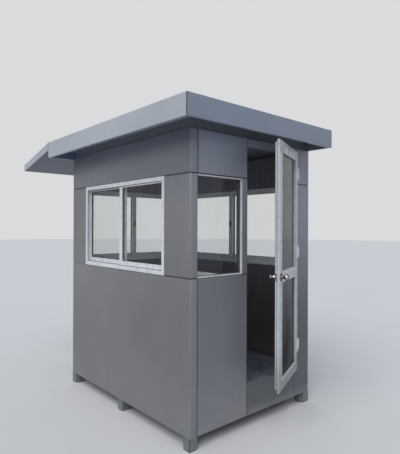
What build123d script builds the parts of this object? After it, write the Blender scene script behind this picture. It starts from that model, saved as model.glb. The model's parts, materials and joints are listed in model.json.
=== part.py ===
"""Security guard booth: a steel-framed box on short square legs, clad in folded metal cassettes.

Millimetres, +Z up. +X runs to the right along the front, +Y runs from the front to the back.
The origin is the centre of the underside of the front left foot, so Z = 0 is the ground.
The door is modelled standing ajar, as it is found, and everything on it is placed from its hinge pin.
"""
import os
from math import acos, cos, degrees, radians, sin, sqrt

from build123d import *

os.makedirs("parts", exist_ok=True)

# Overall size, over the cladding
booth_width = 1500
booth_length = 2000
overall_height = 2600

# Levels above the ground
leg_clear = 100
floor_level = 355
threshold_level = 375
sill_level = 1300

# Wall left over the openings, up to the underside of the eaves
wall_over_window = 337
wall_over_door = 51

# Wall build-up, from outside to inside
sheet = 4
tray_depth = 20
tube = 40
tube_wall = 2
lining = 6
panel_joint = 8
butt_gap = 1
corner_fold = 72
fold_radius = 10

# Base
leg_size = 75
leg_wall = 4
foot_plate = 6
deck = 15
joist_height = 50
joist_width = 40
joist_count = 5
bottom_rail = 40

# Roof
fascia_depth = 163
fascia_board = 25
front_overhang = 245
left_overhang = 240
right_overhang = 14
back_overhang = 114
recess_depth = 84
soffit_board = 6
roof_joist_height = 50
roof_sheet = 4
outrigger_count = 4
canopy_reach = 728
canopy_drop = 166
canopy_root_thickness = 86
canopy_tip_thickness = 75

# Piers beside the windows and the door
side_front_pier = 325
side_back_pier = 305
back_pier = 150
mid_pier = 55
right_pier = 223

# Sliding windows: a frame with two channels, and two sashes that run in them
frame_face = 34
frame_proud = 4
frame_lip = 8
frame_web = 4
channel_depth = 12
track_play = 2
sash_thickness = 22
meeting_stile_width = 48
jamb_stile_width = 22
top_rail_width = 22
bottom_rail_width = 56
lift_clearance = 5
mitre_gap = 0.4
pane = 5
glass_bite = 8

# Fixed corner window
front_frame_face = 10
front_frame_recess = 8
front_glass_depth = 27

# Door
door_width = 650
door_lap = 12
door_clearance = 6
seal_gap = 5
lap_thickness = 18
leaf_thickness = 40
leaf_profile_width = 90
lock_rail_width = 95
knob_height = 1286
knob_backset = 60
open_angle = 24

# Hinges
pin_radius = 4
knuckle_radius = 8
pin_play = 0.1
pin_offset = 9
hinge_height = 110
hinge_plate = 3.5
hinge_flap = 50
low_hinge_rise = 219
mid_hinge_rise = 1100
top_hinge_drop = 207
knuckle_count = 3
knuckle_gap = 0.3

# Lock
rose_radius = 32
rose_thickness = 7
neck_radius = 13
neck_length = 20
knob_flare = 22
knob_radius = 26
knob_face_radius = 16
knob_play = 0.3
spindle_radius = 8
spindle_bore = 11
rose_clearance = 0.3
latch_plate_height = 57
latch_plate_width = 18
latch_plate_thickness = 2.5

# Shelf
shelf_depth = 360
shelf_thickness = 20
shelf_lip = 40

# Derived lines
wall = tray_depth + tube + lining
x_left = -(tray_depth + leg_size / 2)
x_right = x_left + booth_width
y_front = -(tray_depth + leg_size / 2)
y_back = y_front + booth_length
soffit_level = overall_height - fascia_depth
head_level = soffit_level - wall_over_window
door_head_level = soffit_level - wall_over_door
half_joint = panel_joint / 2
deck_bottom = floor_level - deck
bearer_bottom = deck_bottom - joist_height
recess_level = soffit_level + recess_depth
joist_bottom = recess_level + soffit_board
joist_top = joist_bottom + roof_joist_height

door_x1 = x_right - right_pier
door_x0 = door_x1 - door_width
front_window_x0 = x_left + corner_fold
front_window_x1 = door_x0 - mid_pier
side_window_y0 = y_front + side_front_pier
side_window_y1 = y_back - side_back_pier
back_window_x0 = x_left + back_pier
back_window_x1 = x_right - back_pier

# Elevation planes, local X along the wall and local Y up, with the sign that leads inwards
left_plane, left_in = Plane(origin=(x_left, 0, 0), x_dir=(0, 1, 0), z_dir=(1, 0, 0)), 1
right_plane, right_in = Plane(origin=(x_right, 0, 0), x_dir=(0, 1, 0), z_dir=(1, 0, 0)), -1
front_plane, front_in = Plane(origin=(0, y_front, 0), x_dir=(1, 0, 0), z_dir=(0, -1, 0)), -1
back_plane, back_in = Plane(origin=(0, y_back, 0), x_dir=(1, 0, 0), z_dir=(0, -1, 0)), 1


def spans(*fields, mode=Mode.ADD):
    """Draws one rectangle for each field of left, right, bottom and top."""
    for left, right, bottom, top in fields:
        with Locations(((left + right) / 2, (bottom + top) / 2)):
            Rectangle(right - left, top - bottom, mode=mode)


def inset(field, by):
    """A field drawn in by the same width on all four sides, or spread where the width is negative."""
    left, right, bottom, top = field
    return (left + by, right - by, bottom + by, top - by)


def boxes(*solids):
    """Makes one box for each low and high corner pair."""
    for low, high in solids:
        with Locations(low):
            Box(*(h - l for l, h in zip(low, high)), align=(Align.MIN, Align.MIN, Align.MIN))


def keep(piece, name):
    """Labels a finished piece and writes its file."""
    piece.part.label = name
    export_step(piece.part, f"parts/{name}.step")


def cassettes(plane, inward, fields):
    """Folded trays: a sheet face with its four edges turned back to the frame."""
    with BuildPart() as trays:
        with BuildSketch(plane):
            spans(*fields)
        extrude(amount=inward * tray_depth)
        with BuildSketch(plane.offset(inward * sheet)):
            spans(*[inset(field, sheet) for field in fields])
        extrude(amount=inward * (tray_depth - sheet), mode=Mode.SUBTRACT)
    return trays


def corner_band(depth_from, depth_to, x_end, y_end):
    """Draws, in plan, a band that runs round the front left corner between two depths."""
    low_x, low_y = x_left + depth_from, y_front + depth_from
    spans((low_x, x_end, low_y, y_front + depth_to), (low_x, x_left + depth_to, low_y, y_end))
    outer = vertices().sort_by(lambda v: v.X + v.Y)[0]
    fillet(outer, fold_radius - depth_from)


def folded_cassette(y_end, bottom, top):
    """A tray that is folded round the front left corner and ends on the front."""
    x_end = x_left + corner_fold
    with BuildPart() as tray:
        with BuildSketch(Plane.XY.offset(bottom)):
            corner_band(0, tray_depth, x_end, y_end)
        extrude(amount=top - bottom)
        with BuildSketch(Plane.XY.offset(bottom + sheet)):
            corner_band(sheet, tray_depth, x_end - sheet, y_end - sheet)
        extrude(amount=top - bottom - 2 * sheet, mode=Mode.SUBTRACT)
    return tray


# Legs: square tubes, closed at the foot, at the corners and at the middle of the long sides
leg_inset = tray_depth + leg_size / 2
leg_rows = (y_front + leg_inset, (y_front + y_back) / 2, y_back - leg_inset)
leg_spots = [(x, y) for x in (x_left + leg_inset, x_right - leg_inset) for y in leg_rows]
with BuildPart() as legs:
    with BuildSketch():
        with Locations(*leg_spots):
            Rectangle(leg_size, leg_size)
    extrude(amount=bearer_bottom)
    with BuildSketch(Plane.XY.offset(foot_plate)):
        with Locations(*leg_spots):
            Rectangle(leg_size - 2 * leg_wall, leg_size - 2 * leg_wall)
    extrude(amount=bearer_bottom - foot_plate, mode=Mode.SUBTRACT)
keep(legs, "legs")

# Base beams: bottom rails between the legs, and the bearers that lie on the legs under the floor
rail_top = leg_clear + bottom_rail
frame_x0, frame_x1 = x_left + tray_depth, x_right - tray_depth
frame_y0, frame_y1 = y_front + tray_depth, y_back - tray_depth
leg_half = leg_size / 2
bay_x0, bay_x1 = frame_x0 + leg_size, frame_x1 - leg_size
with BuildPart() as base_beams:
    for rail_x in (frame_x0, frame_x1 - bottom_rail):
        for near, far in zip(leg_rows, leg_rows[1:]):
            boxes(((rail_x, near + leg_half, leg_clear), (rail_x + bottom_rail, far - leg_half, rail_top)))
    for rail_y in (frame_y0, frame_y1 - bottom_rail):
        boxes(((bay_x0, rail_y, leg_clear), (bay_x1, rail_y + bottom_rail, rail_top)))
    for bearer_x in (frame_x0, frame_x1 - leg_size):
        boxes(((bearer_x, frame_y0, bearer_bottom), (bearer_x + leg_size, frame_y1, deck_bottom)))
keep(base_beams, "base_beams")

# Floor joists between the bearers
joist_pitch = (frame_y1 - frame_y0 - joist_width) / (joist_count - 1)
joist_rows = [frame_y0 + i * joist_pitch for i in range(joist_count)]
with BuildPart() as floor_joists:
    for row in joist_rows:
        boxes(((bay_x0, row, bearer_bottom), (bay_x1, row + joist_width, deck_bottom)))
keep(floor_joists, "floor_joists")

with BuildPart() as floor_deck:
    boxes(((frame_x0, frame_y0, deck_bottom), (frame_x1, frame_y1, floor_level)))
keep(floor_deck, "floor_deck")

# Wall posts: square tubes at the corners, beside the door and beside every window
post_rows = (side_window_y0 - tube, side_window_y1)
post_corners = [(x, y) for x in (frame_x0, frame_x1 - tube) for y in (frame_y0, frame_y1 - tube)]
post_corners += [(x, y) for x in (frame_x0, frame_x1 - tube) for y in post_rows]
post_corners += [(x, frame_y1 - tube) for x in (back_window_x0 - tube, back_window_x1)]
post_corners += [(x, frame_y0) for x in (door_x0 - tube, door_x1)]
post_centres = [(x + tube / 2, y + tube / 2) for x, y in post_corners]
with BuildPart() as wall_posts:
    with BuildSketch(Plane.XY.offset(floor_level)):
        with Locations(*post_centres):
            Rectangle(tube, tube)
            Rectangle(tube - 2 * tube_wall, tube - 2 * tube_wall, mode=Mode.SUBTRACT)
    extrude(amount=soffit_level - floor_level)
keep(wall_posts, "wall_posts")

# Wall rails: tubes under and over every window, over the door and along the wall tops
inner_x0, inner_x1 = frame_x0 + tube, frame_x1 - tube
inner_y0, inner_y1 = frame_y0 + tube, frame_y1 - tube
side_bays = (
    (inner_y0, side_window_y0 - tube),
    (side_window_y0, side_window_y1),
    (side_window_y1 + tube, inner_y1),
)
back_bays = (
    (inner_x0, back_window_x0 - tube),
    (back_window_x0, back_window_x1),
    (back_window_x1 + tube, inner_x1),
)
top_rail = soffit_level - tube
with BuildPart() as wall_rails:
    for x in (frame_x0, frame_x1 - tube):
        for near, far in side_bays:
            boxes(((x, near, top_rail), (x + tube, far, soffit_level)))
        for level in (sill_level - tube, head_level):
            boxes(((x, side_window_y0, level), (x + tube, side_window_y1, level + tube)))
    for near, far in back_bays:
        boxes(((near, frame_y1 - tube, top_rail), (far, frame_y1, soffit_level)))
    for level in (sill_level - tube, head_level):
        boxes(((back_window_x0, frame_y1 - tube, level), (back_window_x1, frame_y1, level + tube)))
    for level in (sill_level - tube, head_level, top_rail):
        boxes(((inner_x0, frame_y0, level), (door_x0 - tube, inner_y0, level + tube)))
    boxes(
        ((door_x0, frame_y0, door_head_level), (door_x1, inner_y0, soffit_level)),
        ((door_x1 + tube, frame_y0, top_rail), (inner_x1, inner_y0, soffit_level)),
    )
keep(wall_rails, "wall_rails")

# Cladding of the left wall: its front trays are folded round the corner
side_low, side_high = leg_clear, sill_level - half_joint
upper_low, upper_high = head_level + half_joint, soffit_level
pier_low, pier_high = sill_level + half_joint, head_level - half_joint
left_lower_panel = folded_cassette(y_back, side_low, side_high)
keep(left_lower_panel, "left_lower_panel")
left_upper_panel = folded_cassette(y_back, upper_low, upper_high)
keep(left_upper_panel, "left_upper_panel")
left_front_pier = folded_cassette(side_window_y0 - half_joint, pier_low, pier_high)
keep(left_front_pier, "left_front_pier")
left_back_pier = cassettes(
    left_plane, left_in, [(side_window_y1 + half_joint, y_back, side_high + butt_gap, pier_high)]
)
keep(left_back_pier, "left_back_pier")

# Cladding of the front wall, split beside and over the doorway
front_start = front_window_x0 + panel_joint
front_end = door_x0 - half_joint
front_lower_panel = cassettes(front_plane, front_in, [(front_start, front_end, side_low, side_high)])
keep(front_lower_panel, "front_lower_panel")
front_upper_panel = cassettes(front_plane, front_in, [(front_start, front_end, upper_low, upper_high)])
keep(front_upper_panel, "front_upper_panel")
front_mid_pier = cassettes(front_plane, front_in, [(front_window_x1, door_x0, pier_low, pier_high)])
keep(front_mid_pier, "front_mid_pier")
right_pier_fields = [
    (door_x1, x_right, low, high) for low, high in ((side_low, pier_high), (upper_low, upper_high))
]
front_right_pier = cassettes(front_plane, front_in, right_pier_fields)
keep(front_right_pier, "front_right_pier")
threshold_panel = cassettes(
    front_plane, front_in, [(door_x0 + half_joint, door_x1 - half_joint, side_low, threshold_level)]
)
keep(threshold_panel, "threshold_panel")
door_header = cassettes(
    front_plane, front_in, [(door_x0 + half_joint, door_x1 - half_joint, door_head_level, soffit_level)]
)
keep(door_header, "door_header")

# Cladding of the right and back walls, which butt against the corner trays
side_start, side_end = y_front + tray_depth + half_joint, y_back
right_wall_panels = cassettes(
    right_plane,
    right_in,
    [
        (side_start, side_end, side_low, side_high),
        (side_start, side_end, upper_low, upper_high),
        (side_start, side_window_y0 - half_joint, pier_low, pier_high),
        (side_window_y1 + half_joint, side_end, pier_low, pier_high),
    ],
)
keep(right_wall_panels, "right_wall_panels")
back_start, back_end = x_left + tray_depth + half_joint, x_right - tray_depth - half_joint
back_wall_panels = cassettes(
    back_plane,
    back_in,
    [
        (back_start, back_end, side_low, side_high),
        (back_start, back_end, upper_low, upper_high),
        (back_start, back_window_x0 - half_joint, pier_low, pier_high),
        (back_window_x1 + half_joint, back_end, pier_low, pier_high),
    ],
)
keep(back_wall_panels, "back_wall_panels")

# Inner linings: boards on the inside of the frame, and the ceiling between the roof beams
room_x0 = x_left + wall
room_y0, room_y1 = y_front + wall, y_back - wall
low_span = (floor_level, side_high)
mid_span = (pier_low, pier_high)
high_span = (upper_low, upper_high)
side_y0, side_y1 = room_y0 + butt_gap, room_y1 - butt_gap
side_fields = [(side_y0, side_y1, *low_span), (side_y0, side_y1, *high_span)]
side_fields += [(side_y0, side_window_y0, *mid_span), (side_window_y1, side_y1, *mid_span)]
back_fields = [(inner_x0, inner_x1, *low_span), (inner_x0, inner_x1, *high_span)]
back_fields += [(inner_x0, back_window_x0, *mid_span), (back_window_x1, inner_x1, *mid_span)]
front_fields = [(inner_x0, door_x0, *low_span), (inner_x0, door_x0, *high_span)]
front_fields += [(front_window_x1, door_x0, *mid_span), (door_x1, inner_x1, floor_level, soffit_level)]
lining_fields = (
    (left_plane.offset(tray_depth + tube), 1, side_fields),
    (right_plane.offset(-tray_depth - tube), -1, side_fields),
    (back_plane.offset(tray_depth + tube), 1, back_fields),
    (front_plane.offset(-tray_depth - tube), -1, front_fields),
)
with BuildPart() as inner_linings:
    for plane, inward, fields in lining_fields:
        with BuildSketch(plane):
            spans(*fields)
        extrude(amount=inward * lining)
keep(inner_linings, "inner_linings")

# Roof: ring beams on the wall tops, joists across them, a sheet above and boards under the eaves
with BuildPart() as roof_ring_beams:
    for x in (frame_x0, frame_x1 - tube):
        boxes(((x, frame_y0, soffit_level), (x + tube, frame_y1, joist_bottom)))
    for y in (frame_y0, frame_y1 - tube):
        boxes(((inner_x0 + butt_gap, y, soffit_level), (inner_x1 - butt_gap, y + tube, joist_bottom)))
keep(roof_ring_beams, "roof_ring_beams")

with BuildPart() as ceiling_panel:
    boxes(((inner_x0, inner_y0, soffit_level), (inner_x1, inner_y1, soffit_level + lining)))
keep(ceiling_panel, "ceiling_panel")

eave_x0, eave_x1 = x_left - left_overhang, x_right + right_overhang
eave_y0, eave_y1 = y_front - front_overhang, y_back + back_overhang
deck_x0, deck_x1 = eave_x0 + fascia_board, eave_x1 - fascia_board
deck_y0, deck_y1 = eave_y0 + fascia_board, eave_y1 - fascia_board
outrigger_pitch = (deck_x1 - deck_x0 - joist_width) / (outrigger_count - 1)
with BuildPart() as roof_joists:
    for row in joist_rows:
        boxes(((deck_x0, row, joist_bottom), (deck_x1, row + joist_width, joist_top)))
    for i in range(outrigger_count):
        x = deck_x0 + i * outrigger_pitch
        boxes(((x, deck_y0, joist_bottom), (x + joist_width, frame_y0 - butt_gap, joist_top)))
keep(roof_joists, "roof_joists")

with BuildPart() as roof_deck:
    boxes(((deck_x0, deck_y0, joist_top), (deck_x1, deck_y1, joist_top + roof_sheet)))
keep(roof_deck, "roof_deck")

with BuildPart() as soffit_boards:
    boxes(
        ((deck_x0, deck_y0, recess_level), (frame_x0, deck_y1, joist_bottom)),
        ((frame_x0 + butt_gap, deck_y0, recess_level), (deck_x1, frame_y0, joist_bottom)),
        ((frame_x0 + butt_gap, frame_y1, recess_level), (deck_x1, deck_y1, joist_bottom)),
    )
keep(soffit_boards, "soffit_boards")

# Fascia boards, mitred at the corners
eave_corners = ((eave_x0, eave_y0), (eave_x1, eave_y0), (eave_x1, eave_y1), (eave_x0, eave_y1))
deck_corners = ((deck_x0, deck_y0), (deck_x1, deck_y0), (deck_x1, deck_y1), (deck_x0, deck_y1))
for i, side in enumerate(("front", "right", "back", "left")):
    j = (i + 1) % 4
    with BuildPart() as fascia:
        with BuildSketch(Plane.XY.offset(soffit_level)):
            with BuildLine():
                Polyline(eave_corners[i], eave_corners[j], deck_corners[j], deck_corners[i], close=True)
            make_face()
        extrude(amount=fascia_depth)
    keep(fascia, f"{side}_fascia")

# Rear canopy: a closed slab that slopes down from the back fascia
canopy_plane = Plane(origin=(eave_x0, 0, 0), x_dir=(0, 1, 0), z_dir=(1, 0, 0))
tip_top = overall_height - canopy_drop
with BuildPart() as rear_canopy:
    with BuildSketch(canopy_plane):
        with BuildLine():
            Polyline(
                (eave_y1, overall_height - canopy_root_thickness),
                (eave_y1, overall_height),
                (eave_y1 + canopy_reach, tip_top),
                (eave_y1 + canopy_reach, tip_top - canopy_tip_thickness),
                close=True,
            )
        make_face()
    extrude(amount=eave_x1 - eave_x0)
keep(rear_canopy, "rear_canopy")


def opening_within(field, by, left_bar):
    """A field drawn in by a width on all four sides, or on all but the left where there is no left bar."""
    left, right, bottom, top = inset(field, by)
    return (left if left_bar else field[0], right, bottom, top)


def window_bars(plane, inward, field, face, depth, grooves, left_bar=True):
    """A window's outer frame: bars with mitred corners, grooved all round the opening.

    A groove is its inset from the outline, its depth from the face and its width.
    Without a left bar, the head and the sill run square to the left end of the field.
    """
    left, right, bottom, top = inset(field, face / 2)
    corners = [(right, bottom, -45), (right, top, 45)]
    if left_bar:
        corners += [(left, bottom, 45), (left, top, -45)]
    with BuildPart() as bars:
        with BuildSketch(plane):
            spans(field)
            spans(opening_within(field, face, left_bar), mode=Mode.SUBTRACT)
            for x, y, turn in corners:
                with Locations((x, y)):
                    Rectangle(2 * face, mitre_gap, rotation=turn, mode=Mode.SUBTRACT)
        extrude(amount=inward * depth)
        for by, start, width in grooves:
            with BuildSketch(plane.offset(inward * start)):
                spans(opening_within(field, by, left_bar))
            extrude(amount=inward * width, mode=Mode.SUBTRACT)
    return bars


# A sliding window's channels, and the depth of each below the face of the frame
channel_width = sash_thickness + 2 * track_play
channel_inset = frame_face - channel_depth
outer_channel = frame_lip
inner_channel = frame_lip + channel_width + frame_web


def sliding_frame(plane, inward, field):
    """The bars of a sliding window, with a channel for the outer sash and one for the inner sash."""
    lip_plane = plane.offset(-inward * frame_proud)
    grooves = [(channel_inset, channel, channel_width) for channel in (outer_channel, inner_channel)]
    return window_bars(lip_plane, inward, field, frame_face, frame_proud + wall, grooves)


def sash_layout(field):
    """Outline, sight opening and depth of the outer sash, which is the near one, then of the inner sash."""
    left, right, bottom, channel_top = inset(field, channel_inset)
    middle, top = (left + right) / 2, channel_top - lift_clearance
    overlap = meeting_stile_width / 2
    near = (left + track_play, middle + overlap, jamb_stile_width, meeting_stile_width, outer_channel)
    far = (middle - overlap, right - track_play, meeting_stile_width, jamb_stile_width, inner_channel)
    for start, end, first, last, channel in (near, far):
        sight = (start + first, end - last, bottom + bottom_rail_width, top - top_rail_width)
        yield (start, end, bottom, top), sight, channel + track_play - frame_proud


def sliding_panes(plane, inward, field):
    """The glass of a sliding window, one pane in the middle of each sash."""
    with BuildPart() as panes:
        for outline, sight, depth in sash_layout(field):
            with BuildSketch(plane.offset(inward * (depth + (sash_thickness - pane) / 2))):
                spans(inset(sight, -glass_bite))
            extrude(amount=inward * pane)
    return panes


def sliding_sashes(plane, inward, field):
    """Two sash rings, each grooved for its pane."""
    panes = sliding_panes(plane, inward, field)
    with BuildPart() as sashes:
        for outline, sight, depth in sash_layout(field):
            with BuildSketch(plane.offset(inward * depth)):
                spans(outline)
                spans(sight, mode=Mode.SUBTRACT)
            extrude(amount=inward * sash_thickness)
        add(panes.part, mode=Mode.SUBTRACT)
    return sashes


side_window = (side_window_y0, side_window_y1, sill_level, head_level)
sliding_windows = {
    "left": (left_plane, left_in, side_window),
    "right": (right_plane, right_in, side_window),
    "back": (back_plane, back_in, (back_window_x0, back_window_x1, sill_level, head_level)),
}
for side, window in sliding_windows.items():
    keep(sliding_frame(*window), f"{side}_window_frame")
    keep(sliding_sashes(*window), f"{side}_window_sashes")
    keep(sliding_panes(*window), f"{side}_window_glass")

# Fixed corner window: slim bars on three sides, set back from the cladding, with one pane in their groove.
# The pane has no bar on the left. It runs on behind the corner tray and ends at the corner post.
front_window = (front_window_x0, front_window_x1, sill_level, head_level - half_joint)
front_pane_inset = front_frame_face - glass_bite
front_window_frame = window_bars(
    front_plane.offset(front_in * front_frame_recess),
    front_in,
    front_window,
    front_frame_face,
    wall - front_frame_recess,
    [(front_pane_inset, front_glass_depth - front_frame_recess, pane)],
    left_bar=False,
)
keep(front_window_frame, "front_window_frame")
_, pane_right, pane_bottom, pane_top = inset(front_window, front_pane_inset)
with BuildPart() as front_window_glass:
    with BuildSketch(front_plane.offset(front_in * front_glass_depth)):
        spans((inner_x0, pane_right, pane_bottom, pane_top))
    extrude(amount=front_in * pane)
keep(front_window_glass, "front_window_glass")

# Wall shelf at sill height along the left wall, with a turned-down front edge
with BuildPart() as wall_shelf:
    boxes(
        ((room_x0, room_y0, sill_level - shelf_thickness), (room_x0 + shelf_depth, room_y1, sill_level)),
        (
            (room_x0 + shelf_depth - shelf_thickness, room_y0, sill_level - shelf_lip),
            (room_x0 + shelf_depth, room_y1, sill_level),
        ),
    )
keep(wall_shelf, "wall_shelf")

# Door: local X runs from the hinge pin to the free edge, local Y out of the booth
leaf_x1 = door_x1 + door_lap
leaf_width = door_width + 2 * door_lap
pin_x = leaf_x1 + pin_offset
leaf_face = seal_gap + lap_thickness
pin_y = y_front - leaf_face + pin_offset
swing = radians(open_angle)
along = (-cos(swing), -sin(swing), 0)
inside = (-sin(swing), cos(swing), 0)
door_plan = Plane(origin=(pin_x, pin_y, 0), x_dir=along, z_dir=(0, 0, 1))
door_elevation = Plane(origin=(pin_x, pin_y, 0), x_dir=along, z_dir=inside)

leaf_start, leaf_end = pin_offset, pin_offset + leaf_width
leaf_low, leaf_high = threshold_level - door_lap, door_head_level + door_lap
body_inset = door_lap + door_clearance
body_depth = leaf_thickness - lap_thickness
lock_rail = (knob_height - lock_rail_width / 2, knob_height + lock_rail_width / 2)
glass_start, glass_end = leaf_start + leaf_profile_width, leaf_end - leaf_profile_width
glazing = (
    (glass_start, glass_end, leaf_low + leaf_profile_width, lock_rail[0]),
    (glass_start, glass_end, lock_rail[1], leaf_high - leaf_profile_width),
)
knob_along = leaf_end - knob_backset
latch_along = leaf_end - body_inset
outer_face = -pin_offset
body_face = outer_face + lap_thickness
inner_face = outer_face + leaf_thickness
latch_middle = (body_face + inner_face) / 2

latch_field = (
    latch_along - latch_plate_thickness,
    latch_along,
    knob_height - latch_plate_height / 2,
    knob_height + latch_plate_height / 2,
)
latch_plane = door_elevation.offset(latch_middle - latch_plate_width / 2)

with BuildPart() as door_glass:
    with BuildSketch(door_elevation.offset(outer_face + (leaf_thickness - pane) / 2)):
        spans(*[inset(sight, -glass_bite) for sight in glazing])
    extrude(amount=pane)
keep(door_glass, "door_glass")

with BuildPart() as door_leaf:
    with BuildSketch(door_elevation.offset(outer_face)):
        spans((leaf_start, leaf_end, leaf_low, leaf_high))
    extrude(amount=lap_thickness)
    with BuildSketch(door_elevation.offset(body_face)):
        spans(inset((leaf_start, leaf_end, leaf_low, leaf_high), body_inset))
    extrude(amount=body_depth)
    with BuildSketch(door_elevation.offset(outer_face)):
        spans(*glazing)
        with Locations((knob_along, knob_height)):
            Circle(spindle_bore)
    extrude(amount=leaf_thickness, mode=Mode.SUBTRACT)
    with BuildSketch(latch_plane):
        spans(latch_field)
    extrude(amount=latch_plate_width, mode=Mode.SUBTRACT)
    add(door_glass.part, mode=Mode.SUBTRACT)
keep(door_leaf, "door_leaf")

# Lock trim: a rose on each face and the latch plate in the free edge
with BuildPart() as lock_trim:
    for face in (outer_face - rose_thickness, inner_face):
        with BuildSketch(door_elevation.offset(face)):
            with Locations((knob_along, knob_height)):
                Circle(rose_radius)
                Circle(neck_radius + rose_clearance, mode=Mode.SUBTRACT)
        extrude(amount=rose_thickness)
    with BuildSketch(latch_plane):
        spans(latch_field)
    extrude(amount=latch_plate_width)
keep(lock_trim, "lock_trim")

# Knobs: each flares from its neck and is rounded off to a flat face, and the spindle joins the two
knob_plan = door_plan.offset(knob_height)
knob_axis = Axis(knob_plan.from_local_coords((knob_along, 0, 0)), knob_plan.y_dir)
knob_belly = neck_length + knob_flare
knob_tip = knob_belly + sqrt(knob_radius**2 - knob_face_radius**2)
knob_rounding = degrees(acos(knob_face_radius / knob_radius))
with BuildPart() as door_knobs:
    for face, out in ((-outer_face, 1), (-inner_face, -1)):
        core, base = face - out * leaf_thickness / 2, face + out * knob_play
        with BuildSketch(knob_plan):
            with BuildLine():
                Polyline(
                    (knob_along, core),
                    (knob_along + spindle_radius, core),
                    (knob_along + spindle_radius, base),
                    (knob_along + neck_radius, base),
                    (knob_along + neck_radius, face + out * neck_length),
                    (knob_along + knob_radius, face + out * knob_belly),
                )
                CenterArc((knob_along, face + out * knob_belly), knob_radius, 0, out * knob_rounding)
                Polyline(
                    (knob_along + knob_face_radius, face + out * knob_tip),
                    (knob_along, face + out * knob_tip),
                    (knob_along, core),
                )
            make_face()
        revolve(axis=knob_axis)
keep(door_knobs, "door_knobs")

# Hinges: the jamb half carries the pin and two knuckles, the door half the middle knuckle
knuckle_height = hinge_height / knuckle_count
knuckle_x0, knuckle_x1 = pin_x - knuckle_radius, pin_x + knuckle_radius
hinge_levels = (leaf_low + low_hinge_rise, leaf_low + mid_hinge_rise, leaf_high - top_hinge_drop)
with BuildPart() as jamb_hinge_leaves:
    for level in hinge_levels:
        low = level - hinge_height / 2
        with BuildSketch(Plane.XY.offset(low)):
            spans((pin_x, pin_x + hinge_flap, y_front - hinge_plate, y_front))
            spans((pin_x, knuckle_x1, pin_y, y_front))
            with Locations((pin_x, pin_y)):
                Circle(knuckle_radius)
        extrude(amount=hinge_height)
        with BuildSketch(Plane.XY.offset(low + knuckle_height - knuckle_gap)):
            spans((knuckle_x0, knuckle_x1, pin_y - knuckle_radius, y_front - hinge_plate))
        extrude(amount=knuckle_height + 2 * knuckle_gap, mode=Mode.SUBTRACT)
        with BuildSketch(Plane.XY.offset(low)):
            with Locations((pin_x, pin_y)):
                Circle(pin_radius)
        extrude(amount=hinge_height)
keep(jamb_hinge_leaves, "jamb_hinge_leaves")

with BuildPart() as door_hinge_leaves:
    for level in hinge_levels:
        low = level - hinge_height / 2
        with BuildSketch(door_plan.offset(low)):
            spans((leaf_start, hinge_flap, pin_offset, pin_offset + hinge_plate))
        extrude(amount=hinge_height)
        with BuildSketch(door_plan.offset(low + knuckle_height)):
            spans((0, leaf_start, 0, pin_offset + hinge_plate))
            Circle(knuckle_radius)
            Circle(pin_radius + pin_play, mode=Mode.SUBTRACT)
        extrude(amount=knuckle_height)
keep(door_hinge_leaves, "door_hinge_leaves")
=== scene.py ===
"""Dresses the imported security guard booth.

Metres, +Z up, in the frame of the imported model: X runs to the right along the front, Y from the front to
the back, and Z = 0 is the ground. Every solid of the model gets its finish here. Sheets, profiles and the
door leaf get eased edges. Trim that is no solid of the model is added: leg facings, ribs, strips, seals,
beads, screws, window catches and the small parts of the lock.
"""
import json
import logging
from dataclasses import dataclass, replace
from enum import Enum
from functools import cached_property
from math import acos, cos, pi, radians, sin
from typing import Iterator, Sequence, Union

import bmesh
import bpy
from mathutils import Matrix, Vector


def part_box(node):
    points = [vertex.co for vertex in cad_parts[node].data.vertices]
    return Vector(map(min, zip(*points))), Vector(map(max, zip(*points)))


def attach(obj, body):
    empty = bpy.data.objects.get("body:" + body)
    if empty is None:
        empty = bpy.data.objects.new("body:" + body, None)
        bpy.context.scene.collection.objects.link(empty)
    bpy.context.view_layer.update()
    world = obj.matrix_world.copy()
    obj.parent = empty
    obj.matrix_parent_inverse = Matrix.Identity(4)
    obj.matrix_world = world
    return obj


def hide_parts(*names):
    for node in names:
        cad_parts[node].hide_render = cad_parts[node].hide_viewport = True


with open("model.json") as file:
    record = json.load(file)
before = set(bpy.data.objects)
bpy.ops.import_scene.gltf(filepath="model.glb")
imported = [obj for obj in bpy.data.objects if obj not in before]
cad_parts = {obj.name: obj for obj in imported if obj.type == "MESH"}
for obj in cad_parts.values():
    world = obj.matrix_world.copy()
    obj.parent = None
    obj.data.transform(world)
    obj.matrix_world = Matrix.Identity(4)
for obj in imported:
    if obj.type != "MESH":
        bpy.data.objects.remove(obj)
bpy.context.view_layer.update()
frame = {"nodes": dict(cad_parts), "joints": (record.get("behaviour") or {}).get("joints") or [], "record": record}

LOG = logging.getLogger("booth")

Colour = tuple[float, float, float]
Point = tuple[float, float, float]
Profile = Sequence[tuple[float, float]]

X_AXIS = Vector((1, 0, 0))
Y_AXIS = Vector((0, 1, 0))
Z_AXIS = Vector((0, 0, 1))

# How far thin trim is let into the surface that carries it, and fine lines stand out of it.
SUNK = 0.0002


def shaded(colour: Colour, by: float) -> Colour:
    """A colour made lighter or darker by one factor."""
    return tuple(by * part for part in colour)


def placed(name: str, data: bpy.types.ID) -> bpy.types.Object:
    """Makes an object and puts it in the scene.

    Args:
        name: The object's name.
        data: Its mesh, camera or light.

    Returns:
        The object.
    """
    item = bpy.data.objects.new(name, data)
    bpy.context.scene.collection.objects.link(item)
    return item


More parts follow.
